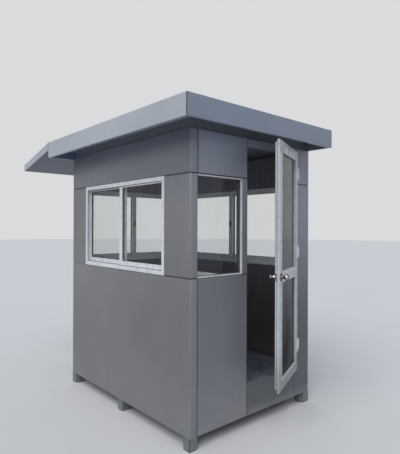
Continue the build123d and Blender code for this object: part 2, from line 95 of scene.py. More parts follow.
class Value:
    """A number that a node of a material gives, so that sums on it are written as sums."""

    def __init__(self, graph: "Graph", socket: bpy.types.NodeSocket) -> None:
        """Wraps one output socket of a graph's nodes."""
        self.graph = graph
        self.socket = socket

    def __add__(self, other: "Term") -> "Value":
        """This value plus another."""
        return self.graph.sum_of("ADD", self, other)

    def __sub__(self, other: "Term") -> "Value":
        """This value less another."""
        return self.graph.sum_of("SUBTRACT", self, other)

    def __rsub__(self, other: "Term") -> "Value":
        """Another value less this one."""
        return self.graph.sum_of("SUBTRACT", other, self)

    def __mul__(self, other: "Term") -> "Value":
        """This value times another."""
        return self.graph.sum_of("MULTIPLY", self, other)

    def __pow__(self, power: float) -> "Value":
        """This value raised to a power."""
        return self.graph.sum_of("POWER", self, power)

    __radd__ = __add__
    __rmul__ = __mul__

    def within(self, low: float, high: float) -> "Value":
        """A mask that runs smoothly from 0 at one level of this value to 1 at another, up or down."""
        sockets = {"Value": self, "From Min": low, "From Max": high}
        return self.graph.value("ShaderNodeMapRange", sockets, "Result", interpolation_type="SMOOTHSTEP")


Term = Union[Value, float]
Entry = Union[Value, float, Sequence[float]]
Sockets = dict[Union[str, int], Entry]


class Graph:
    """The nodes of one material, or of the sky."""

    NOISE_ROUGHNESS = 0.55

    def __init__(self, owner: bpy.types.Material | bpy.types.World) -> None:
        """Starts with no nodes.

        Args:
            owner: The material or world that the nodes are for.
        """
        owner.use_nodes = True
        self.owner = owner
        self.tree = owner.node_tree
        self.tree.nodes.clear()

    def node(self, kind: str, sockets: Sockets | None = None, **settings: object) -> bpy.types.Node:
        """Adds a node, sets it up and feeds its sockets.

        Args:
            kind: The node's type.
            sockets: A value or a constant for each input, by name or by number.
            **settings: The node's own settings, which are set first.

        Returns:
            The new node.
        """
        node = self.tree.nodes.new(kind)
        for name, setting in settings.items():
            setattr(node, name, setting)
        for key, entry in (sockets or {}).items():
            if isinstance(entry, Value):
                self.tree.links.new(entry.socket, node.inputs[key])
            else:
                node.inputs[key].default_value = entry
        return node

    def value(
        self, kind: str, sockets: Sockets | None = None, output: str | int = 0, **settings: object
    ) -> Value:
        """Adds a node and gives one of its outputs, by name or by number."""
        return Value(self, self.node(kind, sockets, **settings).outputs[output])

    def sum_of(self, operation: str, first: Term, second: Term) -> Value:
        """One step of arithmetic on two values."""
        return self.value("ShaderNodeMath", {0: first, 1: second}, operation=operation)

    @cached_property
    def place(self) -> Value:
        """Where the surface point lies on the booth."""
        return self.value("ShaderNodeTexCoord", output="Object")

    def along(self, axis: str) -> Value:
        """How far the surface point lies along X, Y or Z, in metres."""
        return self.value("ShaderNodeSeparateXYZ", {"Vector": self.place}, axis)

    def facing(self, way: Point) -> Value:
        """How squarely the surface faces one way: 1 is squarely, 0 is edge on."""
        normal = self.value("ShaderNodeTexCoord", output="Normal")
        return self.value("ShaderNodeVectorMath", {0: normal, 1: way}, "Value", operation="DOT_PRODUCT")

    def slant(self) -> Value:
        """How much of a slant the surface is seen at: 0 is squarely, 1 is edge on."""
        return self.value("ShaderNodeLayerWeight", {"Blend": 0.5}, "Facing")

    def noise(
        self, scale: float, detail: float = 2.0, stretch: Point = (1.0, 1.0, 1.0), shift: float = 0.0
    ) -> Value:
        """A cloudy pattern.

        Args:
            scale: Lumps in a metre.
            detail: Octaves of finer lumps.
            stretch: How much denser the pattern is along X, Y and Z.
            shift: Slides the pattern, so that two patterns of one finish differ.

        Returns:
            A value around 0.5.
        """
        moved = {"Vector": self.place, "Location": (shift, shift, shift), "Scale": stretch}
        place = self.value("ShaderNodeMapping", moved)
        sockets = {"Vector": place, "Scale": scale, "Detail": detail, "Roughness": self.NOISE_ROUGHNESS}
        return self.value("ShaderNodeTexNoise", sockets)

    def cells(self, scale: float) -> Value:
        """One random value for each cell round scattered points, so many in a metre."""
        return self.value("ShaderNodeTexVoronoi", {"Vector": self.place, "Scale": scale}, "Color")

    def tint(self, base: Entry, other: Entry, factor: Term) -> Value:
        """Blends two colours, from the first at 0 to the second at 1."""
        sides = {0: factor, 6: self._opaque(base), 7: self._opaque(other)}
        return self.value("ShaderNodeMix", sides, 2, data_type="RGBA")

    @staticmethod
    def _opaque(colour: Entry) -> Entry:
        """A colour with the fourth number that its socket wants."""
        return colour if isinstance(colour, Value) else (*colour, 1.0)

    def relief(self, height: Value, depth: float) -> Value:
        """The normal bent by a pattern from 0 to 1, a full step of which stands for a depth in metres."""
        return self.value("ShaderNodeBump", {"Height": height, "Distance": depth, "Strength": 1.0})

    def shader(self, kind: str, colour: Colour, **sockets: float) -> Value:
        """A plain shader of one colour."""
        return self.value(kind, {"Color": self._opaque(colour), **sockets})

    def blend(self, first: Value, second: Value, factor: Term) -> Value:
        """Mixes two shaders, from the first at 0 to the second at 1."""
        return self.value("ShaderNodeMixShader", {0: factor, 1: first, 2: second})

    def surface(self, sockets: Sockets) -> bpy.types.Material:
        """Closes the material with one Principled surface, and gives the material."""
        return self.close("ShaderNodeOutputMaterial", self.value("ShaderNodeBsdfPrincipled", sockets))

    def close(self, kind: str, shader: Value) -> bpy.types.Material | bpy.types.World:
        """Sends a shader to the output node and gives what owns the nodes."""
        self.node(kind, {"Surface": shader})
        return self.owner


@dataclass(frozen=True)
class Finish:
    """A material of the booth, made once and shared by what it covers."""

    name: str
    slot: str | None = None

    def paint(self, graph: Graph) -> bpy.types.Material:
        """Lays the nodes of the finish. Each finish has its own."""
        raise NotImplementedError

    @cached_property
    def material(self) -> bpy.types.Material:
        """The finish's material, made when it is first asked for."""
        return self.paint(Graph(bpy.data.materials.new(self.name)))


@dataclass(frozen=True)
class SatinSheet(Finish):
    """Grey coated aluminium sheet: a fine metallic fleck, slight waves and dust that runs downwards."""

    colour: Colour = (0.172, 0.178, 0.19)
    tone: float = 0.08
    cloud_scale: float = 1.3
    fleck_scale: float = 900.0
    fleck_amount: float = 0.35
    dust: Colour = (0.27, 0.275, 0.28)
    dust_height: float = 0.75
    dust_foot: float = 0.08
    dust_scale: float = 9.0
    dust_amount: float = 0.55
    run_scale: float = 5.0
    run_stretch: Point = (5.0, 5.0, 0.22)
    run_amount: float = 0.07
    # Painted sky reflection: a lighter, bluer colour blended in between two heights.
    painted_sky_reflection: Colour = (0.15, 0.17, 0.21)
    painted_reflection_amount: float = 0.0
    painted_reflection_low: float = 1.7
    painted_reflection_high: float = 2.5
    # Painted light and shade: the faces that point one way take another colour, a share of it low down and all of
    # it higher up.
    turned: Point = (0.0, -1.0, 0.0)
    painted_side_lighting: Colour | None = None
    painted_side_lighting_share: float = 1.0
    roughness: float = 0.42
    metallic: float = 0.25
    ior: float = 1.45
    wave_scale: float = 2.6
    wave_depth: float = 0.0012

    def paint(self, graph: Graph) -> bpy.types.Material:
        """Lays cloudy paint, painted sky reflection higher up, painted light and shade on one side, runs, low
        dust, fleck and waves.

        Args:
            graph: The material's nodes.

        Returns:
            The material.
        """
        height = graph.along("Z")
        cloud = graph.noise(self.cloud_scale, 4.0).within(0.3, 0.7)
        runs = graph.noise(self.run_scale, 3.0, self.run_stretch, shift=3.0).within(0.5, 0.78)
        fleck = graph.noise(self.fleck_scale, 1.0).within(0.35, 0.75)
        patchy = 0.5 + 0.5 * graph.noise(self.dust_scale, 5.0, shift=7.0).within(0.2, 0.7)
        low = height.within(self.dust_height, self.dust_foot) * patchy if self.dust_height else 0.0
        light = shaded(self.colour, 1 + self.tone)
        paint = graph.tint(shaded(self.colour, 1 - self.tone), light, cloud)
        flecked = graph.tint(paint, light, fleck * self.fleck_amount)
        # Painted sky reflection: the colour turns lighter and bluer towards the top.
        high = height.within(self.painted_reflection_low, self.painted_reflection_high)
        painted_light = graph.tint(flecked, self.painted_sky_reflection, high * self.painted_reflection_amount)
        # Painted light and shade on the faces that point the turned way.
        if self.painted_side_lighting:
            side = graph.facing(self.turned).within(0.4, 0.9)
            share = self.painted_side_lighting_share + (1.0 - self.painted_side_lighting_share) * high
            painted_light = graph.tint(painted_light, self.painted_side_lighting, side * share)
        dusty = graph.tint(painted_light, self.dust, runs * self.run_amount + low * self.dust_amount)
        rough = self.roughness + runs * 0.08 + low * 0.25 - fleck * 0.06
        waves = graph.relief(graph.noise(self.wave_scale, 1.0, shift=11.0), self.wave_depth)
        coat = {"Metallic": self.metallic, "IOR": self.ior}
        return graph.surface({"Base Color": dusty, "Roughness": rough, "Normal": waves, **coat})


@dataclass(frozen=True)
class FilmedProfile(Finish):
    """White coated profile that still wears its thin clear film, slightly wrinkled, scuffed and grimed."""

    colour: Colour = (0.60, 0.61, 0.62)
    film: Colour = (0.47, 0.49, 0.52)
    film_amount: float = 0.35
    patch_scale: float = 17.0
    grime: Colour = (0.20, 0.20, 0.205)
    grime_level: float = 0.0
    grime_scale: float = 6.0
    scuff: Colour = (0.10, 0.102, 0.115)
    scuff_amount: float = 0.75
    scuff_scale: float = 130.0
    scuff_spread: float = 13.0
    scuff_level: float = 0.50
    wrinkle_scale: float = 60.0
    wrinkle_depth: float = 0.0004
    roughness: float = 0.34

    def paint(self, graph: Graph) -> bpy.types.Material:
        """Lays the white coat, patches where the film has lifted, sparse scuffs and its wrinkles.

        Args:
            graph: The material's nodes.

        Returns:
            The material.
        """
        patch = graph.noise(self.patch_scale, 3.0).within(0.42, 0.58)
        flecks = graph.noise(self.scuff_scale, shift=1.0).within(0.60, 0.67)
        level = self.scuff_level
        sparse = graph.noise(self.scuff_spread, shift=5.0).within(level - 0.04, level + 0.04)
        low = graph.along("Z").within(self.grime_level, 0.5 * self.grime_level) if self.grime_level else 0.0
        grime = graph.noise(self.grime_scale, 5.0, shift=9.0).within(0.52, 0.8) * 0.2 + low * 0.7
        coat = graph.tint(self.colour, self.film, patch * self.film_amount)
        grimy = graph.tint(coat, self.grime, grime)
        scuffed = graph.tint(grimy, self.scuff, flecks * sparse * self.scuff_amount)
        wrinkle = graph.relief(graph.noise(self.wrinkle_scale, 3.0, shift=2.0) * patch, self.wrinkle_depth)
        rough = self.roughness + grime * 0.4 - patch * 0.08
        return graph.surface({"Base Color": scuffed, "Roughness": rough, "IOR": 1.48, "Normal": wrinkle})


@dataclass(frozen=True)
class FloatGlass(Finish):
    """Window glass: it mirrors more at a slant, lets the rest through and carries a thin veil of dust."""

    tint: Colour = (0.98, 0.985, 0.982)
    mirror: Colour = (0.36, 0.38, 0.41)
    veil: Colour = (0.42, 0.43, 0.43)
    dust: float = 0.013
    streak_scale: float = 7.0
    streak_stretch: Point = (1.6, 1.6, 0.5)
    polish: float = 0.02
    gloss: float = 0.04
    # Painted shade on the reflection: the share of the mirror part kept below the low level.
    painted_low_reflection: float = 1.0
    low_level: float = 1.1
    high_level: float = 2.1

    def paint(self, graph: Graph) -> bpy.types.Material:
        """Lays the clear part, the mirror part over it, which can be dimmed low down as painted shade, and dust
        over both.

        Args:
            graph: The material's nodes.

        Returns:
            The material.
        """
        clear = graph.shader("ShaderNodeBsdfTransparent", self.tint)
        mirror = graph.shader("ShaderNodeBsdfGlossy", self.mirror, Roughness=self.polish)
        mirrored = self.gloss + (1.0 - self.gloss) * graph.slant() ** 5.0
        # Painted shade: the mirror part fades low down.
        high = graph.along("Z").within(self.low_level, self.high_level)
        glass = graph.blend(clear, mirror, mirrored * (self.painted_low_reflection + (1.0 - self.painted_low_reflection) * high))
        veil = graph.shader("ShaderNodeBsdfDiffuse", self.veil)
        streaks = graph.noise(self.streak_scale, 5.0, self.streak_stretch).within(0.35, 0.8)
        cover = streaks * self.dust + self.dust * 0.4
        return graph.close("ShaderNodeOutputMaterial", graph.blend(glass, veil, cover))


@dataclass(frozen=True)
class PlainCoat(Finish):
    """A coat with a cloudy tone and a fine grain, for boards, rubber, mastic and enamel."""

    colour: Colour = (0.2, 0.2, 0.2)
    tone: float = 0.12
    scale: float = 14.0
    roughness: float = 0.5
    metallic: float = 0.0
    grain_depth: float = 0.0002
    grain_scale: float = 120.0

    def paint(self, graph: Graph) -> bpy.types.Material:
        """Lays a cloudy colour, uneven gloss and a fine grain.

        Args:
            graph: The material's nodes.

        Returns:
            The material.
        """
        cloud = graph.noise(self.scale, 5.0)
        dark, light = shaded(self.colour, 1 - self.tone), shaded(self.colour, 1 + self.tone)
        colour = graph.tint(dark, light, cloud.within(0.3, 0.7))
        rough = self.roughness - 0.06 + cloud * 0.12
        grain = graph.relief(graph.noise(self.grain_scale, 3.0, shift=4.0), self.grain_depth)
        return graph.surface(
            {"Base Color": colour, "Roughness": rough, "Metallic": self.metallic, "Normal": grain}
        )


@dataclass(frozen=True)
class DarkLining(Finish):
    """Dark wall board: lighter and bluer up high as painted light, darker and browner low down as painted shade,
    dustier near the floor.
    """

    # Painted light and shade: the colours up high and low down, blended between two heights.
    high: Colour = (0.145, 0.140, 0.182)
    low: Colour = (0.060, 0.049, 0.047)
    low_level: float = 0.75
    high_level: float = 1.75
    dust: Colour = (0.13, 0.12, 0.115)
    dust_height: float = 0.62
    dust_foot: float = 0.36
    grain_scale: float = 14.0
    grain_stretch: Point = (3.0, 3.0, 0.25)
    grain_depth: float = 0.0003
    roughness: float = 0.62

    def paint(self, graph: Graph) -> bpy.types.Material:
        """Lays the painted light and shade of the two heights, soft vertical grain and dust over the skirting.

        Args:
            graph: The material's nodes.

        Returns:
            The material.
        """
        height = graph.along("Z")
        grain = graph.noise(self.grain_scale, 6.0, self.grain_stretch).within(0.3, 0.75)
        # Painted light and shade: darker low down, lighter and bluer up high.
        board = graph.tint(self.low, self.high, height.within(self.low_level, self.high_level))
        veined = graph.tint(board, shaded(self.low, 0.7), grain * 0.45)
        dusty = graph.tint(veined, self.dust, height.within(self.dust_height, self.dust_foot) * grain * 0.4)
        relief = graph.relief(grain, self.grain_depth)
        rough = self.roughness - grain * 0.12
        return graph.surface({"Base Color": dusty, "Roughness": rough, "Normal": relief})


@dataclass(frozen=True)
class ZincSteel(Finish):
    """Galvanised steel tube: dull greenish spangle, splashed and lightly rusted near the ground."""

    colour: Colour = (0.154, 0.177, 0.173)
    spangle_scale: float = 90.0
    splash: Colour = (0.25, 0.25, 0.23)
    splash_height: float = 0.16
    splash_scale: float = 24.0
    rust: Colour = (0.13, 0.055, 0.022)
    rust_height: float = 0.22
    rust_foot: float = 0.02
    rust_scale: float = 38.0
    pit_scale: float = 180.0
    pit_depth: float = 0.0006
    roughness: float = 0.44
    metallic: float = 0.35

    def paint(self, graph: Graph) -> bpy.types.Material:
        """Lays the spangle, splashes up from the ground and rust spots among them.

        Args:
            graph: The material's nodes.

        Returns:
            The material.
        """
        height = graph.along("Z")
        wet, damp = height.within(self.splash_height, 0.0), height.within(self.rust_height, self.rust_foot)
        splash = graph.noise(self.splash_scale, 6.0).within(0.38, 0.66) * wet
        rust = graph.noise(self.rust_scale, 6.0, shift=6.0).within(0.58, 0.72) * damp
        spangle = graph.cells(self.spangle_scale)
        zinc = graph.tint(shaded(self.colour, 0.84), shaded(self.colour, 1.12), spangle)
        splashed = graph.tint(zinc, self.splash, splash * 0.45)
        rusty = graph.tint(splashed, self.rust, rust * 0.75)
        rough = self.roughness + splash * 0.35 + rust * 0.3 - spangle * 0.08
        pits = graph.relief(graph.noise(self.pit_scale, 4.0, shift=8.0) * (rust + 0.3), self.pit_depth)
        return graph.surface(
            {"Base Color": rusty, "Roughness": rough, "Metallic": self.metallic, "Normal": pits}
        )


@dataclass(frozen=True)
class BrushedMetal(Finish):
    """Bright steel of the lock and screws, finely brushed and finger marked, with a painted dark reflection at its
    turned edges.
    """

    colour: Colour = (0.56, 0.54, 0.52)
    # The colour of the painted dark reflection at a slant, also used for the finger smudges.
    edge: Colour = (0.035, 0.032, 0.031)
    smudge_scale: float = 70.0
    brush_scale: float = 420.0
    brush_stretch: Point = (1.0, 1.0, 6.0)
    brush_depth: float = 0.00004
    roughness: float = 0.14

    def paint(self, graph: Graph) -> bpy.types.Material:
        """Lays bare metal with a painted dark reflection at its rim, fine brushing and smudges.

        Args:
            graph: The material's nodes.

        Returns:
            The material.
        """
        smudge = graph.noise(self.smudge_scale, 4.0).within(0.4, 0.7)
        # Painted dark reflection: darker where the surface is seen at a slant.
        painted_dark_rim = graph.tint(self.colour, self.edge, graph.slant().within(0.06, 0.42) * 0.92)
        colour = graph.tint(painted_dark_rim, self.edge, smudge * 0.2)
        lines = graph.relief(graph.noise(self.brush_scale, 2.0, self.brush_stretch), self.brush_depth)
        rough = self.roughness + smudge * 0.14
        return graph.surface({"Base Color": colour, "Metallic": 1.0, "Roughness": rough, "Normal": lines})


# The walls' cladding: painted sky reflection higher up and painted light on the folds that face the front.
CLADDING = SatinSheet(
    "grey_cladding",
    "cladding",
    colour=(0.153, 0.155, 0.165),
    painted_sky_reflection=(0.162, 0.173, 0.208),
    painted_reflection_amount=0.8,
    painted_side_lighting=(0.230, 0.242, 0.280),
    painted_side_lighting_share=0.45,
)
# A lighter copy of the cladding for the corner cassette: painted light.
CORNER_CLADDING = replace(
    CLADDING, name="grey_cladding_corner", colour=(0.176, 0.178, 0.188), painted_side_lighting=(0.245, 0.256, 0.290)
)
# A copy for the front wall, with a stronger painted sky reflection higher up.
FRONT_CLADDING = replace(
    CLADDING,
    name="grey_cladding_front",
    colour=(0.164, 0.166, 0.185),
    painted_sky_reflection=(0.270, 0.298, 0.370),
    painted_reflection_low=1.5,
    painted_side_lighting=None,
)
# A copy for the pier right of the door: darker low down as painted shade, lighter and bluer higher up as painted
# sky reflection.
PIER_CLADDING = replace(
    FRONT_CLADDING,
    name="grey_cladding_pier",
    colour=(0.096, 0.098, 0.113),
    painted_sky_reflection=(0.214, 0.230, 0.281),
    painted_reflection_amount=1.0,
    painted_reflection_low=0.6,
    painted_reflection_high=2.0,
    dust_height=0.2,
)
# A darker copy for the threshold panel: painted shade.
THRESHOLD_CLADDING = replace(
    FRONT_CLADDING, name="grey_cladding_threshold", colour=(0.101, 0.106, 0.114), dust_height=0.2
)
EAVES = SatinSheet("grey_eaves", "eaves", colour=(0.184, 0.228, 0.332), dust_height=0.0, roughness=0.36)
# Lit and shaded copies of the eaves for the faces of the fascia: the left copy much lighter as painted light, the
# front copy, also used on the right, less blue.
FRONT_EAVES = replace(EAVES, name="grey_eaves_front", colour=(0.191, 0.221, 0.284))
LEFT_EAVES = replace(EAVES, name="grey_eaves_left", colour=(0.354, 0.376, 0.414))
# The canopy: lighter than the eaves as painted light, with its underside darker as painted shade.
CANOPY = replace(
    LEFT_EAVES,
    name="grey_eaves_canopy",
    colour=(0.308, 0.345, 0.390),
    turned=(0.0, 0.0, -1.0),
    painted_side_lighting=(0.088, 0.096, 0.138),
)
# The soffit: lighter and bluer than the eaves, painted sky light in its shaded recess.
SOFFIT = replace(EAVES, name="grey_eaves_soffit", colour=(0.330, 0.360, 0.600))
PROFILE = FilmedProfile("filmed_profile", "white_profile")
LEAF_PROFILE = replace(
    PROFILE,
    name="filmed_leaf_profile",
    colour=(0.45, 0.46, 0.48),
    film=(0.36, 0.38, 0.41),
    grime_level=0.8,
    scuff_level=0.47,
)
CLEAR_GLASS = FloatGlass("window_glass", "clear_glass")
# The door glass mirrors far less low down: painted shade on its reflection.
DOOR_GLASS = FloatGlass(
    "leaf_glass",
    "door_glass",
    tint=(0.61, 0.625, 0.615),
    mirror=(0.60, 0.62, 0.65),
    dust=0.09,
    painted_low_reflection=0.05,
    low_level=0.5,
    high_level=1.8,
)
STEEL = ZincSteel("galvanised_steel", "frame_steel")
ROOF = PlainCoat("roof_coat", "roof_sheet", colour=(0.33, 0.35, 0.37), tone=0.11, scale=3.0, metallic=0.3)
FLOOR = PlainCoat(
    "floor_facing", "floor_board", colour=(0.102, 0.112, 0.148), tone=0.3, scale=8.0, roughness=0.4
)
LINING = DarkLining("dark_lining", "lining_board")
# A pale laminate, made paler still against the shade it lies in: partly painted light.
LAMINATE = PlainCoat("pale_laminate", "shelf_board", colour=(0.90, 0.88, 0.84), tone=0.06, scale=9.0)
ENAMEL = PlainCoat(
    "white_enamel", "white_hinge", colour=(0.60, 0.61, 0.63), tone=0.08, scale=40.0, roughness=0.35
)
METAL = BrushedMetal("satin_steel", "lock_metal")
# A darker copy of the steel for the roses: painted dark reflection.
DARK_REFLECTION_METAL = replace(METAL, name="steel_painted_dark_reflection", colour=(0.20, 0.185, 0.175), roughness=0.2)
ZINC = BrushedMetal("zinc_screws", colour=(0.24, 0.245, 0.25), roughness=0.34)
RUBBER = PlainCoat("black_rubber", colour=(0.018, 0.018, 0.019), tone=0.25, roughness=0.6, scale=30.0)
MASTIC = PlainCoat("grey_mastic", colour=(0.085, 0.088, 0.094), tone=0.18, scale=25.0)
DARK_MASTIC = PlainCoat("dark_mastic", colour=(0.028, 0.029, 0.032), tone=0.2, roughness=0.55, scale=25.0)
TRIM = PlainCoat(
    "dark_trim", colour=(0.075, 0.075, 0.08), tone=0.15, roughness=0.4, scale=12.0, metallic=0.3
)

SLOT_FINISHES = {
    finish.slot: finish
    for finish in (
        CLADDING, EAVES, STEEL, ROOF, FLOOR, LINING, PROFILE, CLEAR_GLASS, DOOR_GLASS, LAMINATE, ENAMEL,
        METAL,
    )
}
# Which copy of the cladding each cassette takes: the copies carry painted light and shade.
CASSETTES = {
    CLADDING: (
        "left_lower_panel", "left_upper_panel", "left_back_pier", "right_wall_panels", "back_wall_panels",
    ),
    FRONT_CLADDING: ("front_lower_panel", "front_upper_panel", "front_mid_pier", "door_header"),
    CORNER_CLADDING: ("left_front_pier",),
    PIER_CLADDING: ("front_right_pier",),
    THRESHOLD_CLADDING: ("threshold_panel",),
}
# Which copy of the eaves each board takes: the copies carry painted light and shade.
EAVES_BOARDS = {
    "front_fascia": FRONT_EAVES,
    "left_fascia": LEFT_EAVES,
    "right_fascia": FRONT_EAVES,
    "back_fascia": EAVES,
    "rear_canopy": CANOPY,
    "soffit_boards": SOFFIT,
}


class Body(Enum):
    """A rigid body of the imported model."""

    BOOTH = "booth"
    DOOR = "door"
    KNOBS = "knobs"


@dataclass(frozen=True)
class Extent:
    """A box by its two limits along U, V and W of an elevation."""

    u0: float
    u1: float
    v0: float
    v1: float
    w0: float
    w1: float

    @classmethod
    def about(cls, u: float, v: float, width: float, height: float, w0: float, w1: float) -> "Extent":
        """A box of one width and height round a point of the elevation."""
        return cls(u - width / 2, u + width / 2, v - height / 2, v + height / 2, w0, w1)

    @property
    def size(self) -> Vector:
        """Its length along U, V and W."""
        return Vector((self.u1 - self.u0, self.v1 - self.v0, self.w1 - self.w0))

    @property
    def middle(self) -> Vector:
        """Its centre."""
        return Vector((self.u1 + self.u0, self.v1 + self.v0, self.w1 + self.w0)) / 2

    def spread(self, by: float) -> "Extent":
        """The same box with its outline moved out by one width on all four sides."""
        return replace(self, u0=self.u0 - by, u1=self.u1 + by, v0=self.v0 - by, v1=self.v1 + by)

    def at(self, w0: float, w1: float) -> "Extent":
        """The same outline at another depth."""
        return replace(self, w0=w0, w1=w1)

    def edged(self, width: float) -> tuple["Extent", "Extent", "Extent"]:
        """Strips of one width inside its bottom, its top and its far side."""
        bottom, top = replace(self, v1=self.v0 + width), replace(self, v0=self.v1 - width)
        return bottom, top, replace(self, u0=self.u1 - width)


class Elevation(Enum):
    """A face of the booth that trim is laid out on: U runs along it, V up it and W into it."""

    PLAN = "plan"
    LEFT = "left"
    RIGHT = "right"
    FRONT = "front"
    BACK = "back"
    LEAF = "leaf"

    @property
    def matrix(self) -> Matrix:
        """Leads from U, V and W to the booth's own X, Y and Z."""
        origin, along, up, inward = self._frame()
        turn = Matrix((along, up, inward)).transposed()
        return Matrix.Translation(origin) @ turn.to_4x4()

    def _frame(self) -> tuple[Vector, Vector, Vector, Vector]:
        """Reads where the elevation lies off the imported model.

        Returns:
            Its origin, then the directions of U, V and W.
        """
        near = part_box("left_lower_panel")[0]
        far = Vector((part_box("right_wall_panels")[1].x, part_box("back_wall_panels")[1].y, 0))
        hinge, spindle = frame["joints"]
        inward = -Vector(spindle["axis"])
        pin = Vector(hinge["pos_m"])
        return {
            Elevation.PLAN: (Vector(), X_AXIS, Y_AXIS, Z_AXIS),
            Elevation.LEFT: (X_AXIS * near.x, Y_AXIS, Z_AXIS, X_AXIS),
            Elevation.RIGHT: (X_AXIS * far.x, Y_AXIS, Z_AXIS, -X_AXIS),
            Elevation.FRONT: (Y_AXIS * near.y, X_AXIS, Z_AXIS, Y_AXIS),
            Elevation.BACK: (Y_AXIS * far.y, X_AXIS, Z_AXIS, -Y_AXIS),
            Elevation.LEAF: (Vector((pin.x, pin.y, 0)), Z_AXIS.cross(inward), Z_AXIS, inward),
        }[self]

    def points(self, node: str) -> list[Vector]:
        """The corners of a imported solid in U, V and W."""
        back = self.matrix.inverted()
        return [back @ vertex.co for vertex in frame["nodes"][node].data.vertices]

    @staticmethod
    def around(points: Sequence[Vector]) -> Extent:
        """The box round some points."""
        limits = ((min(line), max(line)) for line in zip(*points))
        return Extent(*(limit for pair in limits for limit in pair))

    def span(self, node: str) -> Extent:
        """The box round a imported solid."""
        return self.around(self.points(node))

    def halves(self, node: str, axis: int) -> tuple[Extent, Extent]:
        """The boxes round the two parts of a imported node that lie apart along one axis.

        Args:
            node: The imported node.
            axis: 0, 1 or 2 for U, V or W.

        Returns:
            The box of the lower part, then of the higher one.
        """
        points = self.points(node)
        middle = self.around(points).middle[axis]
        low = [point for point in points if point[axis] < middle]
        high = [point for point in points if point[axis] > middle]
        return self.around(low), self.around(high)


